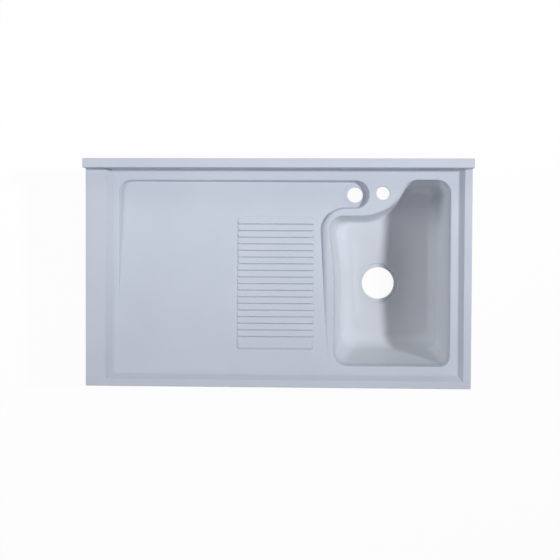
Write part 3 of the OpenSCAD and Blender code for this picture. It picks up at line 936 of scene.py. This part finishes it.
@dataclass(frozen=True)
class BoardShape:
    """Plan of the washboard and its place on the platform's plane.

    Attributes:
        ribs: number of pitches in the length; the last one is the plain band.
        rise, low, start: heights of the crests, the grooves and the start of a rib above the plane.
        end_drop: how much lower the plain band is at the front.
        step, bevel: widths of the step down into a groove and of the bevelled ends of the ribs.
        thickness, gap: depth of the part that is let into the platform, and the play round it.
    """

    right: float = 94.0
    rear: float = -147.5
    width: float = 200.0
    pitch: float = 17.25
    ribs: int = 20
    corner: float = 9.0
    rise: float = 3.9
    low: float = -1.0
    start: float = 0.5
    end_drop: float = 0.3
    step: float = 1.75
    groove: float = 1.4
    bevel: float = 4.8
    thickness: float = 4.0
    gap: float = 0.06

    @property
    def length(self) -> float:
        """Length from the rear to the front end."""
        return self.pitch * self.ribs

    def placed(self, local: np.ndarray) -> np.ndarray:
        """Carries points from the board's own frame, whose origin is its rear right corner, onto the plane.

        Args:
            local: points of shape (n, 3), with z at right angles to the plane.

        Returns:
            The points in the shared frame, turned about X and then about Y by the plane's falls.
        """
        across = math.tan(math.radians(PLATFORM.fall_right))
        along = math.tan(math.radians(PLATFORM.fall_rear))
        tilt_y = math.atan(across)
        tilt_x = -math.atan(along * math.cos(tilt_y))
        turn_x = np.array([[1.0, 0.0, 0.0], [0.0, math.cos(tilt_x), -math.sin(tilt_x)],
                           [0.0, math.sin(tilt_x), math.cos(tilt_x)]])
        turn_y = np.array([[math.cos(tilt_y), 0.0, math.sin(tilt_y)], [0.0, 1.0, 0.0],
                           [-math.sin(tilt_y), 0.0, math.cos(tilt_y)]])
        corner = np.array([[self.right, self.rear]])
        start = np.append(corner[0], PLATFORM.plane(corner)[0])
        return local @ (turn_y @ turn_x).T + start

    def plan(self, grow: float) -> np.ndarray:
        """Rounded outline in the board's own frame.

        Args:
            grow: how much wider it is all round.

        Returns:
            The outline's points, shape (n, 2).
        """
        low, high = np.array([-self.width - grow, -self.length - grow]), np.array([grow, grow])
        corners = np.array([low, (high[0], low[1]), high, (low[0], high[1])])
        return rounded_outline(corners, [self.corner + grow] * 4, (8,) * 4, (1,) * 4).points


BOARD = BoardShape()


# Pieces

@dataclass
class DeckSlab:
    """The slab: a flat deck with the bowl's lip, the sunk platform, the washboard's seat and the tap hole.

    Attributes:
        hole_edge: eased edge of the tap hole, the platform drain's seat and its hole.
        rear_corner: radius of the rear corners, which are as good as square.
    """

    tap: tuple[float, float] = (272.0, -85.0)
    tap_radius: float = 17.5
    hole_edge: float = 0.9
    rear_corner: float = 0.01
    corner_steps: int = 8
    lip_steps: int = 9

    def outline(self) -> np.ndarray:
        """Outline of the slab, with its front corners rounded.

        Returns:
            The outline's points, shape (n, 2).
        """
        half, depth, steps = TOP.half, TOP.depth, self.corner_steps
        corners = np.array([(-half, -depth), (half, -depth), (half, 0.0), (-half, 0.0)])
        radii = (TOP.corner, TOP.corner, self.rear_corner, self.rear_corner)
        return rounded_outline(corners, radii, (steps, steps, 1, 1), (1, 1, 1, 1)).points

    def lip(self) -> np.ndarray:
        """Lip and upper wall of the bowl's opening.

        The lip is a quarter of a circle from the deck down to the wall, whose radius changes from side to
        side. Below it the wall goes on at its lean to the slab's underside.

        Returns:
            A grid of shape (steps, points, 3) from the deck down.
        """
        top = BOWL.outline(0.0)
        radius = top.blended(BOWL.lips)
        rows = []
        for angle in np.linspace(0.0, math.pi / 2.0, self.lip_steps):
            drop = radius * (1.0 - math.cos(angle))
            lean = top.blended(BOWL.lean) * drop
            rows.append(raised(top.grown(radius * (1.0 - math.sin(angle)) - lean), TOP.deck - drop))
        low = raised(BOWL.outline(TOP.slab).points, TOP.apron)
        rows += [rows[-1] * (1.0 - part) + low * part for part in (0.5, 1.0)]
        return np.stack(rows)

    @staticmethod
    def board_seat() -> tuple[np.ndarray, np.ndarray]:
        """Upper and lower edge of the washboard's seat.

        Where the board reaches over the line on which the platform comes out on the deck, the upper edge
        stays on the deck. A point is added at each place where the edge crosses that line.

        Returns:
            Two rings of shape (n, 3).
        """
        plan = BOARD.plan(BOARD.gap)
        above = PLATFORM.plane(BOARD.placed(raised(plan, 0.0))[:, :2]) - TOP.deck
        after = np.roll(above, -1)
        cut = np.nonzero((above > 0.0) != (after > 0.0))[0]
        share = (above[cut] / (above[cut] - after[cut]))[:, None]
        crossing = plan[cut] * (1.0 - share) + plan[(cut + 1) % len(plan)] * share
        plan = np.insert(plan, cut + 1, crossing, axis=0)
        top, low = BOARD.placed(raised(plan, 0.0)), BOARD.placed(raised(plan, -BOARD.thickness))
        top[:, 2] = np.minimum(top[:, 2], TOP.deck)
        return top, low

    def drain_seat(self) -> np.ndarray:
        """The platform drain's seat and hole; the seat's edge follows the falling plane.

        Returns:
            A grid of shape (steps, points, 3) from the plane down.
        """
        drain, radius, foot = PLATFORM.drain, PLATFORM.seat_radius, PLATFORM.seat_foot
        plane_z = PLATFORM.plane(circle(drain, radius + self.hole_edge))
        seat_z = TOP.deck - PLATFORM.depth - PLATFORM.seat_depth
        upper = [raised(circle(drain, r), plane_z + z) for r, z in eased(radius, 0.0, self.hole_edge)]
        lower = turned_rings(drain, [(radius, seat_z + foot), (radius - foot, seat_z),
                                     *eased(PLATFORM.drain_radius, seat_z, self.hole_edge),
                                     (PLATFORM.drain_radius, TOP.apron)])
        return np.concatenate([np.stack(upper), lower])

    def surface(self) -> Surface:
        """The whole closed slab.

        Returns:
            The slab's surface, with every opening lined.
        """
        slab, lip, wall, seat = self.outline(), self.lip(), PLATFORM.wall(), self.drain_seat()
        tap = turned_rings(self.tap, [*eased(self.tap_radius, TOP.deck, self.hole_edge),
                                      (self.tap_radius, TOP.apron)])
        board_top, board_low = self.board_seat()
        on_deck = [slab, *(rings[:, :2] for rings in (lip[0], wall[0], tap[0], board_top))]
        on_plane = [rings[:, :2] for rings in (wall[-1], seat[0], board_top)]
        below = [slab, *(rings[-1, :, :2] for rings in (lip, tap, seat))]
        return Surface.joined([
            flat_fill(on_deck, level(TOP.deck)),
            lined(lip),
            lined(wall),
            flat_fill(on_plane, PLATFORM.plane),
            lined(seat),
            lined(tap),
            lined(np.stack([board_top, board_low])),
            end_cap(board_low[:, :2], board_low),
            flat_fill(below, level(TOP.apron)).flipped(),
            grid_surface(np.stack([raised(slab, TOP.apron), raised(slab, TOP.deck)]), round_u=True),
        ])

    def build(self) -> bpy.types.Object:
        """Makes the slab's piece."""
        return make_piece("deck", self.surface(), Finish.SLAB, ["deck_slab"])


@dataclass
class Bowl:
    """The moulded bowl below the slab: leaning walls, a rounded foot, a dished floor and the drain's seat.
    """

    wall_rows: int = 7
    foot_rows: int = 12
    floor_rows: int = 12
    outer_rows: int = 6

    @staticmethod
    def foot_ring(angle: float, outside: float) -> np.ndarray:
        """One ring of the rounding at the foot, which is a quarter of an ellipse between wall and floor.

        Args:
            angle: 0 at the wall, a quarter of a turn at the floor.
            outside: 0 on the inner face, the shell's thickness on the outer one.

        Returns:
            The ring, shape (n, 3).
        """
        depth = BOWL.depth - BOWL.fillet + BOWL.fillet * math.sin(angle)
        outline = BOWL.outline(depth, 1.0 - math.cos(angle))
        return raised(outline.grown(outside), TOP.deck - depth - outside * math.sin(angle))

    @staticmethod
    def seat_profile() -> list[tuple[float, float]]:
        """Radius and z of the rings from the seat's bevel through the drain to the outer face below.

        Returns:
            The rings' radii and heights.
        """
        seat, hole = BOWL.seat_radius, BOWL.drain_radius
        floor_z = TOP.deck - BOWL.depth - BOWL.fall
        seat_z, outer_z = floor_z - BOWL.seat_depth, floor_z - BOWL.thickness
        bevel = [(seat + BOWL.seat_edge * out, floor_z - BOWL.seat_edge * down)
                 for out, down in BOWL.seat_bevel]
        across, down = BOWL.drain_chord
        return [*bevel, (seat, seat_z + BOWL.seat_foot), (seat - BOWL.seat_foot, seat_z),
                (hole + BOWL.drain_edge, seat_z), (hole + across, seat_z - down),
                (hole, seat_z - BOWL.drain_edge), (hole, outer_z), (seat + BOWL.boss, outer_z)]

    def surface(self) -> Surface:
        """The closed shell: inner face, drain, outer face and flange, ring after ring.

        The floor eases down to the drain's seat, on lines that run from the foot towards the drain.

        Returns:
            The shell's surface.
        """
        quarter = math.pi / 2.0
        rings = [raised(BOWL.outline(depth).points, TOP.deck - depth)
                 for depth in np.linspace(TOP.slab, BOWL.depth - BOWL.fillet, self.wall_rows)]
        rings += [self.foot_ring(angle, 0.0) for angle in np.linspace(0.0, quarter, self.foot_rows)[1:]]
        centre, foot = np.array(BOWL.drain), rings[-1][:, :2]
        ray = foot - centre
        ray /= np.linalg.norm(ray, axis=1, keepdims=True)
        for part in np.linspace(0.0, 1.0, self.floor_rows)[1:]:
            plan = foot * (1.0 - part) + (centre + ray * (BOWL.seat_radius + BOWL.seat_edge)) * part
            rings.append(raised(plan, TOP.deck - BOWL.depth - BOWL.fall * smooth_step(part)))
        rings += [raised(centre + ray * radius, z) for radius, z in self.seat_profile()]
        rings += [self.foot_ring(angle, BOWL.thickness)
                  for angle in np.linspace(quarter, 0.0, self.outer_rows)]
        low = TOP.slab + BOWL.thickness
        for depth, grow, drop in ((low, BOWL.thickness, low), (TOP.slab, BOWL.flange, low),
                                  (TOP.slab, BOWL.flange, TOP.slab)):
            rings.append(raised(BOWL.outline(depth).grown(grow), TOP.deck - drop))
        return grid_surface(np.stack(rings), round_u=True, round_v=True).flipped()

    def build(self) -> bpy.types.Object:
        """Makes the bowl's piece."""
        return make_piece("bowl_shell", self.surface(), Finish.BOWL, ["bowl"])


@dataclass
class Washboard:
    """The pad on the platform: ribs that rise towards the front and end in a groove, then a plain band.

    Attributes:
        band_round, band_edge: radii where the plain band begins and at its front bevel.
        band_end: width of that bevel as a share of the ribs' bevel.
        base, least: height of the bevels' foot, and how much of a bevel is left where the profile dips.
        soft, soft_share: rounding of a bevel's upper edge, and the share of the bevel that it may take.
        closest: points of the profile that are closer than this along the board are left out.
    """

    crest: float = 0.4
    valley: float = 0.15
    band_round: float = 12.0
    band_edge: float = 0.6
    band_end: float = 0.85
    base: float = -0.15
    least: float = 0.05
    soft: float = 0.5
    soft_share: float = 0.4
    bend_points: int = 10
    closest: float = 0.03

    def profile(self) -> np.ndarray:
        """Upper profile from the rear to the front, as y and z in the board's own frame.

        Crests and grooves are rounded. Points are added near both ends, where the plan's corners are round.

        Returns:
            The profile's points, shape (n, 2).
        """
        corners: list[tuple[float, float]] = [(0.0, 0.0)]
        radii: list[float] = [0.0]
        for k in range(1, BOARD.ribs - 1):
            end = -k * BOARD.pitch
            corners += [(end, BOARD.rise), (end - BOARD.step, BOARD.low),
                        (end - BOARD.step - BOARD.groove, BOARD.start)]
            radii += [self.crest, self.valley, self.crest]
        corners += [(-(BOARD.ribs - 1) * BOARD.pitch, BOARD.rise),
                    (-BOARD.length + BOARD.bevel * self.band_end, BOARD.rise - BOARD.end_drop),
                    (-BOARD.length, self.base)]
        path = rounded_path(corners, [*radii, self.band_round, self.band_edge, 0.0])
        bend = BOARD.corner * (1.0 - np.cos(np.linspace(0.0, math.pi / 2.0, self.bend_points)))
        y = np.unique(np.concatenate([path[:, 0], -bend, bend - BOARD.length]))
        y = y[np.append(np.diff(y) > self.closest, True)]
        return np.column_stack([y, np.interp(y, path[::-1, 0], path[::-1, 1])])[::-1]

    def surface(self) -> Surface:
        """The closed pad: the profile carried across, with round corners in plan and bevelled rib ends.

        The half width at a distance from an end is that of the rounded corner. From there the bevel rises
        inwards in a straight line to the profile's height, and its upper edge is rounded by a parabola.
        Where the profile dips below the bevel's foot, the foot follows it.

        Returns:
            The pad's surface.
        """
        profile, corner, middle = self.profile(), BOARD.corner, BOARD.width / 2.0
        from_end = np.minimum(-profile[:, 0], BOARD.length + profile[:, 0])
        short = np.clip(corner - from_end, 0.0, corner)
        half = middle - (corner - np.sqrt(corner ** 2 - short ** 2))
        top = profile[:, 1]
        base = np.minimum(self.base, top - self.least)
        steep = (BOARD.rise - self.base) / BOARD.bevel
        inset = (top - base) / steep
        soft = np.minimum(self.soft, inset * self.soft_share)
        across = np.stack([np.zeros(len(top)), inset - soft, inset, inset + soft], axis=1) - half[:, None]
        height = np.stack([base, top - soft * steep, top - soft * steep / 4.0, top], axis=1)
        x = np.concatenate([across, -across[:, ::-1]], axis=1) - middle
        z = np.concatenate([height, height[:, ::-1]], axis=1)
        upper = np.stack([x, np.broadcast_to(profile[:, :1], x.shape), z], axis=-1)
        lower = upper[:, [0, -1]].copy()
        lower[..., 2] = -BOARD.thickness
        loop = np.concatenate([lower[:, :1], upper, lower[:, 1:]], axis=1)
        rows = BOARD.placed(loop.reshape(-1, 3)).reshape(loop.shape)
        end = [tuple(range(rows.shape[1]))]
        return Surface.joined([grid_surface(rows, round_u=True), Surface(rows[0], end),
                               Surface(rows[-1], end).flipped()])

    def build(self) -> bpy.types.Object:
        """Makes the washboard's piece."""
        return make_piece("ribbed_pad", self.surface(), Finish.RAISED, ["washboard"], crease=21.0)


class Side(Enum):
    """Where a rim runs, with the width of its flat top and the radius of the cove at its foot."""

    LEFT = ("left", 52.0, 10.0)
    RIGHT = ("right", 19.5, 6.0)
    FRONT = ("front", 19.0, 8.0)

    def __init__(self, label: str, flat: float, cove: float) -> None:
        """Keeps the label, the width and the radius apart."""
        self.label, self.flat, self.cove = label, flat, cove


@dataclass
class Rim:
    """A raised rim: a flat top, a slope down to the deck and a small cove, mitred at the front corners.

    Attributes:
        sunk: how far it is let into the deck.
        lap: how far the foot of its profile goes on past the slope.
        long, parts: level lines that are longer than this are split, and into how many parts.
    """

    side: Side
    edge: float = 2.0
    crest: float = 2.5
    sunk: float = 0.4
    lap: float = 5.0
    long: float = 8.0
    parts: int = 8

    def section(self) -> np.ndarray:
        """Profile as distance from the outer edge and height above the deck, anticlockwise from the bottom.

        Returns:
            The profile's points, shape (n, 2).
        """
        flat = self.side.flat
        foot, toe = flat + TOP.rim_slope, flat + TOP.rim_slope + self.lap
        corners = [(toe, -self.sunk), (toe, TOP.feather), (foot, TOP.feather), (flat, TOP.rim),
                   (0.0, TOP.rim), (0.0, -self.sunk)]
        path = rounded_path(corners, [0.0, 0.0, self.side.cove, self.crest, self.edge, 0.0], steps=6)
        after = np.roll(path, -1, axis=0)
        gap = np.abs(after - path)
        split = (gap[:, 1] < 1e-6) & (gap[:, 0] > self.long)
        lines = [np.linspace(path[i], after[i], self.parts + 1)[:-1] if split[i] else path[i:i + 1]
                 for i in range(len(path))]
        return np.concatenate(lines)

    @staticmethod
    def corner_rows(inward: np.ndarray, own: float, other: float,
                    steps: int = 5) -> tuple[np.ndarray, np.ndarray]:
        """Rows of a rim's end at a mitred corner, from the mitre to where the slab's rounded corner begins.

        On the flat tops the joint runs straight from the outer corner to where both slopes begin, and then
        down the slopes at 45 degrees. A row at a distance from the corner that is less than the corner's
        radius has its outer points on the corner's arc. The mitre starts where the joint crosses that arc.

        Args:
            inward: distance of the profile's points from this rim's outer edge.
            own: width of this rim's flat top.
            other: width of the other rim's flat top.
            steps: number of rows.

        Returns:
            Distances from the corner along the rim, and distances from the outer edge, each of shape
            (steps, n).
        """
        radius = TOP.corner
        trial = np.linspace(0.0, radius, 200)
        over = trial * own / other - (radius - np.sqrt(radius ** 2 - (radius - trial) ** 2))
        reach = np.linspace(float(np.interp(0.0, over, trial)), radius, steps)[:, None]
        across = np.maximum(inward, radius - np.sqrt(radius ** 2 - (radius - reach) ** 2))
        joint = np.where(across <= own, across * other / own, other + across - own)
        return np.maximum(joint, reach), across

    def surface(self) -> Surface:
        """The profile carried along its edge, with its ends on the mitres and on the splashback.

        Returns:
            The rim's surface.
        """
        section, own = self.section(), self.side.flat
        inward, z = section[:, 0], section[:, 1] + TOP.deck
        if self.side is Side.FRONT:
            left, left_in = self.corner_rows(inward, own, Side.LEFT.flat)
            right, right_in = self.corner_rows(inward, own, Side.RIGHT.flat)
            x = np.concatenate([left - TOP.half, TOP.half - right[::-1]])
            y = np.concatenate([left_in, right_in[::-1]]) - TOP.depth
        else:
            front, front_in = self.corner_rows(inward, own, Side.FRONT.flat)
            x = np.concatenate([front_in, inward[None]]) - TOP.half
            x = -x if self.side is Side.RIGHT else x
            y = np.concatenate([front - TOP.depth, np.full((1, len(z)), -TOP.splash)])
        return swept(section, np.stack([x, y, np.broadcast_to(z, x.shape)], axis=-1))

    def build(self) -> bpy.types.Object:
        """Makes the rim's piece."""
        label = self.side.label
        return make_piece(label + "_edging", self.surface(), Finish.RAISED, [label + "_rim"])


@dataclass
class Splashback:
    """The strip along the wall, with a cove at its foot and softened edges.

    Attributes:
        cove, cove_radius: width of the cove, and the radius of its arc.
        end_edge, foot: easing of both ends, and the height below which there is none.
    """

    edge: float = 2.5
    wall_edge: float = 1.5
    cove: float = 5.0
    cove_radius: float = 4.9
    end_edge: float = 1.2
    foot: float = 1.0
    end_rows: int = 4

    def section(self) -> np.ndarray:
        """Profile as distance from the wall and height above the deck, anticlockwise.

        Returns:
            The profile's points, shape (n, 2).
        """
        face, toe, top = TOP.splash, TOP.splash + self.cove, TOP.splash_height
        corners = [(0.0, 0.0), (toe, 0.0), (toe, TOP.feather), (face, TOP.feather), (face, top), (0.0, top),
                   (0.0, 0.0)]
        return rounded_path(corners, [0.0, 0.0, 0.0, self.cove_radius, self.edge, self.wall_edge, 0.0],
                            steps=7)[:-1]

    def surface(self) -> Surface:
        """The profile carried along the wall, with its ends drawn in along a quarter of a circle.

        Returns:
            The strip's surface.
        """
        section = self.section()
        middle = np.array([TOP.splash / 2.0, TOP.splash_height / 2.0])
        pull = np.clip((section - middle) / middle, -1.0, 1.0)
        pull[section[:, 1] < self.foot] = 0.0
        rows = []
        for angle in np.linspace(0.0, math.pi / 2.0, self.end_rows):
            held = section - pull * self.end_edge * (1.0 - math.sin(angle))
            x = np.full(len(held), TOP.half - self.end_edge * (1.0 - math.cos(angle)))
            rows.append(np.column_stack([x, -held[:, 0], held[:, 1] + TOP.deck]))
        mirrored = [row * np.array([-1.0, 1.0, 1.0]) for row in rows]
        return swept(section, np.stack(rows + mirrored[::-1]))

    def build(self) -> bpy.types.Object:
        """Makes the splashback's piece."""
        return make_piece("wall_strip", self.surface(), Finish.RAISED, ["splashback"])


@dataclass
class Underside:
    """The parts under the slab, whose CAD shapes are kept as they are and only get their finishes."""

    looks: dict[Finish, tuple[str, ...]] = field(default_factory=lambda: {
        Finish.EDGE: ("front_apron", "left_apron", "right_apron"),
        Finish.UNDER: ("rear_apron", "batten_left", "batten_middle", "batten_right", "platform_drain_ring",
                       "bowl_drain_ring"),
        Finish.STEEL: ("bowl_clips", "clip_screws"),
    })

    def dress(self) -> None:
        """Gives each kept node its material."""
        for finish, names in self.looks.items():
            for name in names:
                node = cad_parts[name]
                node.data.materials.clear()
                node.data.materials.append(finish_material(finish))
                LOG.info("%s keeps its CAD shape", name)


# Room

@dataclass(frozen=True)
class DiskLamp:
    """A round lamp, given by the share of a full level that a level face gets from it.

    Attributes:
        name: the lamp's name.
        way: direction from the object to the lamp.
        share: part of a full level that it gives.
        distance: metres from the object's middle.
        size: diameter in metres.
        glossy: whether gloss mirrors it.
    """

    name: str
    way: tuple[float, float, float]
    share: float
    distance: float = 5.5
    size: float = 2.5
    glossy: bool = False


@dataclass
class Studio:
    """Camera, lamps, world and floor, in metres.

    The lamps and the world add up to a plain level: a level face shows about its own colour. The key is a
    wide, soft beam from the right, aimed behind the object, so that the front gets a little less. A broad
    fill stands on the left, and two weak ones behind and in front. The last two lamps only show as sparks
    in the gloss.

    Attributes:
        camera_place, camera_turn: with z above the deck, and in degrees about X, Y and Z.
        middle: the object's middle, from which the lamps are placed.
        key_aim, key_reach: the place in plan at which the key points, and the radius of its beam there.
        floor_glow: share of its white that the floor gives by itself to the eye.
    """

    lens: float = 70.71
    sensor: float = 36.0
    camera_place: tuple[float, float, float] = (0.122, -0.230, 2.856)
    camera_turn: tuple[float, float, float] = (-1.62, 2.33, 0.27)
    middle: tuple[float, float, float] = (0.0, -0.3, 0.0)
    sky: float = 0.05
    key_share: float = 0.635
    key_from: tuple[float, float, float] = (0.9, 0.135, 1.0)
    key_distance: float = 9.0
    key_size: float = 0.8
    key_aim: tuple[float, float] = (0.26, 0.4)
    key_reach: float = 1.7
    lamps: tuple[DiskLamp, ...] = (
        DiskLamp("fill", (-0.777, 0.0, 0.629), 0.245),
        DiskLamp("fill_rear", (0.1, 0.819, 0.574), 0.1),
        DiskLamp("fill_front", (0.0, -0.819, 0.574), 0.07),
        DiskLamp("spark_right", (0.6, 0.55, 0.8), 0.004, 6.0, 0.16, True),
        DiskLamp("spark_left", (-0.6, 0.6, 0.8), 0.008, 6.0, 0.16, True),
    )
    floor_drop: float = 0.0005
    floor_reach: float = 12.0
    floor_glow: float = 0.95

    def camera(self) -> None:
        """Sets the camera as the photograph's perspective gives it."""
        data = bpy.data.cameras.new("view")
        data.lens, data.sensor_width = self.lens, self.sensor
        camera = bpy.data.objects.new("view", data)
        camera.location = Vector(self.camera_place) + Vector((0.0, 0.0, TOP.deck * MM))
        camera.rotation_euler = tuple(math.radians(angle) for angle in self.camera_turn)
        bpy.context.scene.collection.objects.link(camera)
        bpy.context.scene.camera = camera

    @staticmethod
    def stand(data: bpy.types.Light, place: Vector, back: Vector, glossy: bool) -> None:
        """Adds a lamp to the scene.

        Args:
            data: the lamp's light.
            place: where it stands.
            back: the direction that it turns its back to.
            glossy: whether gloss mirrors it.
        """
        lamp = bpy.data.objects.new(data.name, data)
        lamp.location = place
        lamp.rotation_euler = back.to_track_quat("Z", "Y").to_euler()
        lamp.visible_glossy = glossy
        bpy.context.scene.collection.objects.link(lamp)

    def key(self) -> None:
        """Adds the key lamp, a spot whose light fades from its aim outwards.

        A spot of power P gives P over 4 pi squared d squared at its middle; times the cosine of its angle
        that is its share of a full level.
        """
        way = Vector(self.key_from).normalized()
        data = bpy.data.lights.new("key", "SPOT")
        data.shadow_soft_size, data.spot_blend = self.key_size / 2.0, 1.0
        data.spot_size = 2.0 * math.atan(self.key_reach / self.key_distance)
        data.energy = self.key_share * math.pi / way.z * 4.0 * math.pi * self.key_distance ** 2
        place = Vector(self.middle) + way * self.key_distance
        self.stand(data, place, place - Vector((*self.key_aim, 0.0)), False)

    def fill(self, lamp: DiskLamp) -> None:
        """Adds a round lamp that points at the object's middle.

        A lamp of power P at distance d gives P over pi d squared; times the cosine of its angle over pi that
        is the share.

        Args:
            lamp: what is added.
        """
        way = Vector(lamp.way).normalized()
        data = bpy.data.lights.new(lamp.name, "AREA")
        data.shape, data.size = "DISK", lamp.size
        data.energy = lamp.share * math.pi / way.z * math.pi * lamp.distance ** 2
        self.stand(data, Vector(self.middle) + way * lamp.distance, way, lamp.glossy)

    @staticmethod
    def seen(tree: bpy.types.NodeTree) -> bpy.types.NodeSocket:
        """A factor that is 1 for what the camera sees, also in gloss or through glass, and 0 for light.

        Args:
            tree: the node tree that needs it.

        Returns:
            The factor's socket.
        """
        path = add_node(tree, "ShaderNodeLightPath")
        factor = path.outputs["Is Camera Ray"]
        for kind in ("Is Glossy Ray", "Is Transmission Ray"):
            factor = add_node(tree, "ShaderNodeMath", {"operation": "MAXIMUM"}, _0=factor,
                              _1=path.outputs[kind]).outputs[0]
        return factor

    def world(self) -> None:
        """Sets the world: white to the eye, and a grey level of light all round."""
        world = bpy.data.worlds.new("studio")
        world.use_nodes = True
        tree = world.node_tree
        tree.nodes.clear()
        light = add_node(tree, "ShaderNodeBackground", Color=(1.0, 0.97, 0.92, 1.0), Strength=self.sky)
        white = add_node(tree, "ShaderNodeBackground", Color=(1.0, 1.0, 1.0, 1.0), Strength=1.0)
        mixed = add_node(tree, "ShaderNodeMixShader", _0=self.seen(tree), _1=light.outputs[0],
                         _2=white.outputs[0])
        add_node(tree, "ShaderNodeOutputWorld", Surface=mixed.outputs[0])
        bpy.context.scene.world = world

    def floor(self, height: float) -> None:
        """Adds a white floor that keeps a faint shadow of the object.

        Args:
            height: z of the floor in metres.
        """
        mesh = bpy.data.meshes.new("floor")
        reach = self.floor_reach
        corners = [(x * reach, y * reach, height) for x, y in ((-1, -1), (1, -1), (1, 1), (-1, 1))]
        mesh.from_pydata(corners, [], [(0, 1, 2, 3)])
        floor = bpy.data.objects.new("floor", mesh)
        bpy.context.scene.collection.objects.link(floor)
        paint, tree = blank_material("white_floor")
        matt = add_node(tree, "ShaderNodeBsdfDiffuse", Color=(0.9, 0.9, 0.9, 1.0))
        glow = add_node(tree, "ShaderNodeEmission", Color=(1.0, 1.0, 1.0, 1.0), Strength=1.0)
        share = add_node(tree, "ShaderNodeMath", {"operation": "MULTIPLY"}, _0=self.seen(tree),
                         _1=self.floor_glow)
        mixed = add_node(tree, "ShaderNodeMixShader", _0=share.outputs[0], _1=matt.outputs[0],
                         _2=glow.outputs[0])
        add_node(tree, "ShaderNodeOutputMaterial", Surface=mixed.outputs[0])
        mesh.materials.append(paint)
        floor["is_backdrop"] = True

    def build(self) -> None:
        """Sets up the whole room."""
        self.camera()
        self.key()
        for lamp in self.lamps:
            self.fill(lamp)
        self.world()
        self.floor(float(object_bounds()[0][2]) - self.floor_drop)
        bpy.context.scene.view_settings.view_transform = "Standard"


def main() -> None:
    """Builds the room, then the pieces in order."""
    logging.basicConfig(level=logging.INFO, format="%(name)s: %(message)s")
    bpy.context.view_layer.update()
    Studio().build()
    DeckSlab().build()
    Bowl().build()
    Washboard().build()
    for side in Side:
        Rim(side).build()
    Splashback().build()
    Underside().dress()


if __name__ == "__main__":
    main()
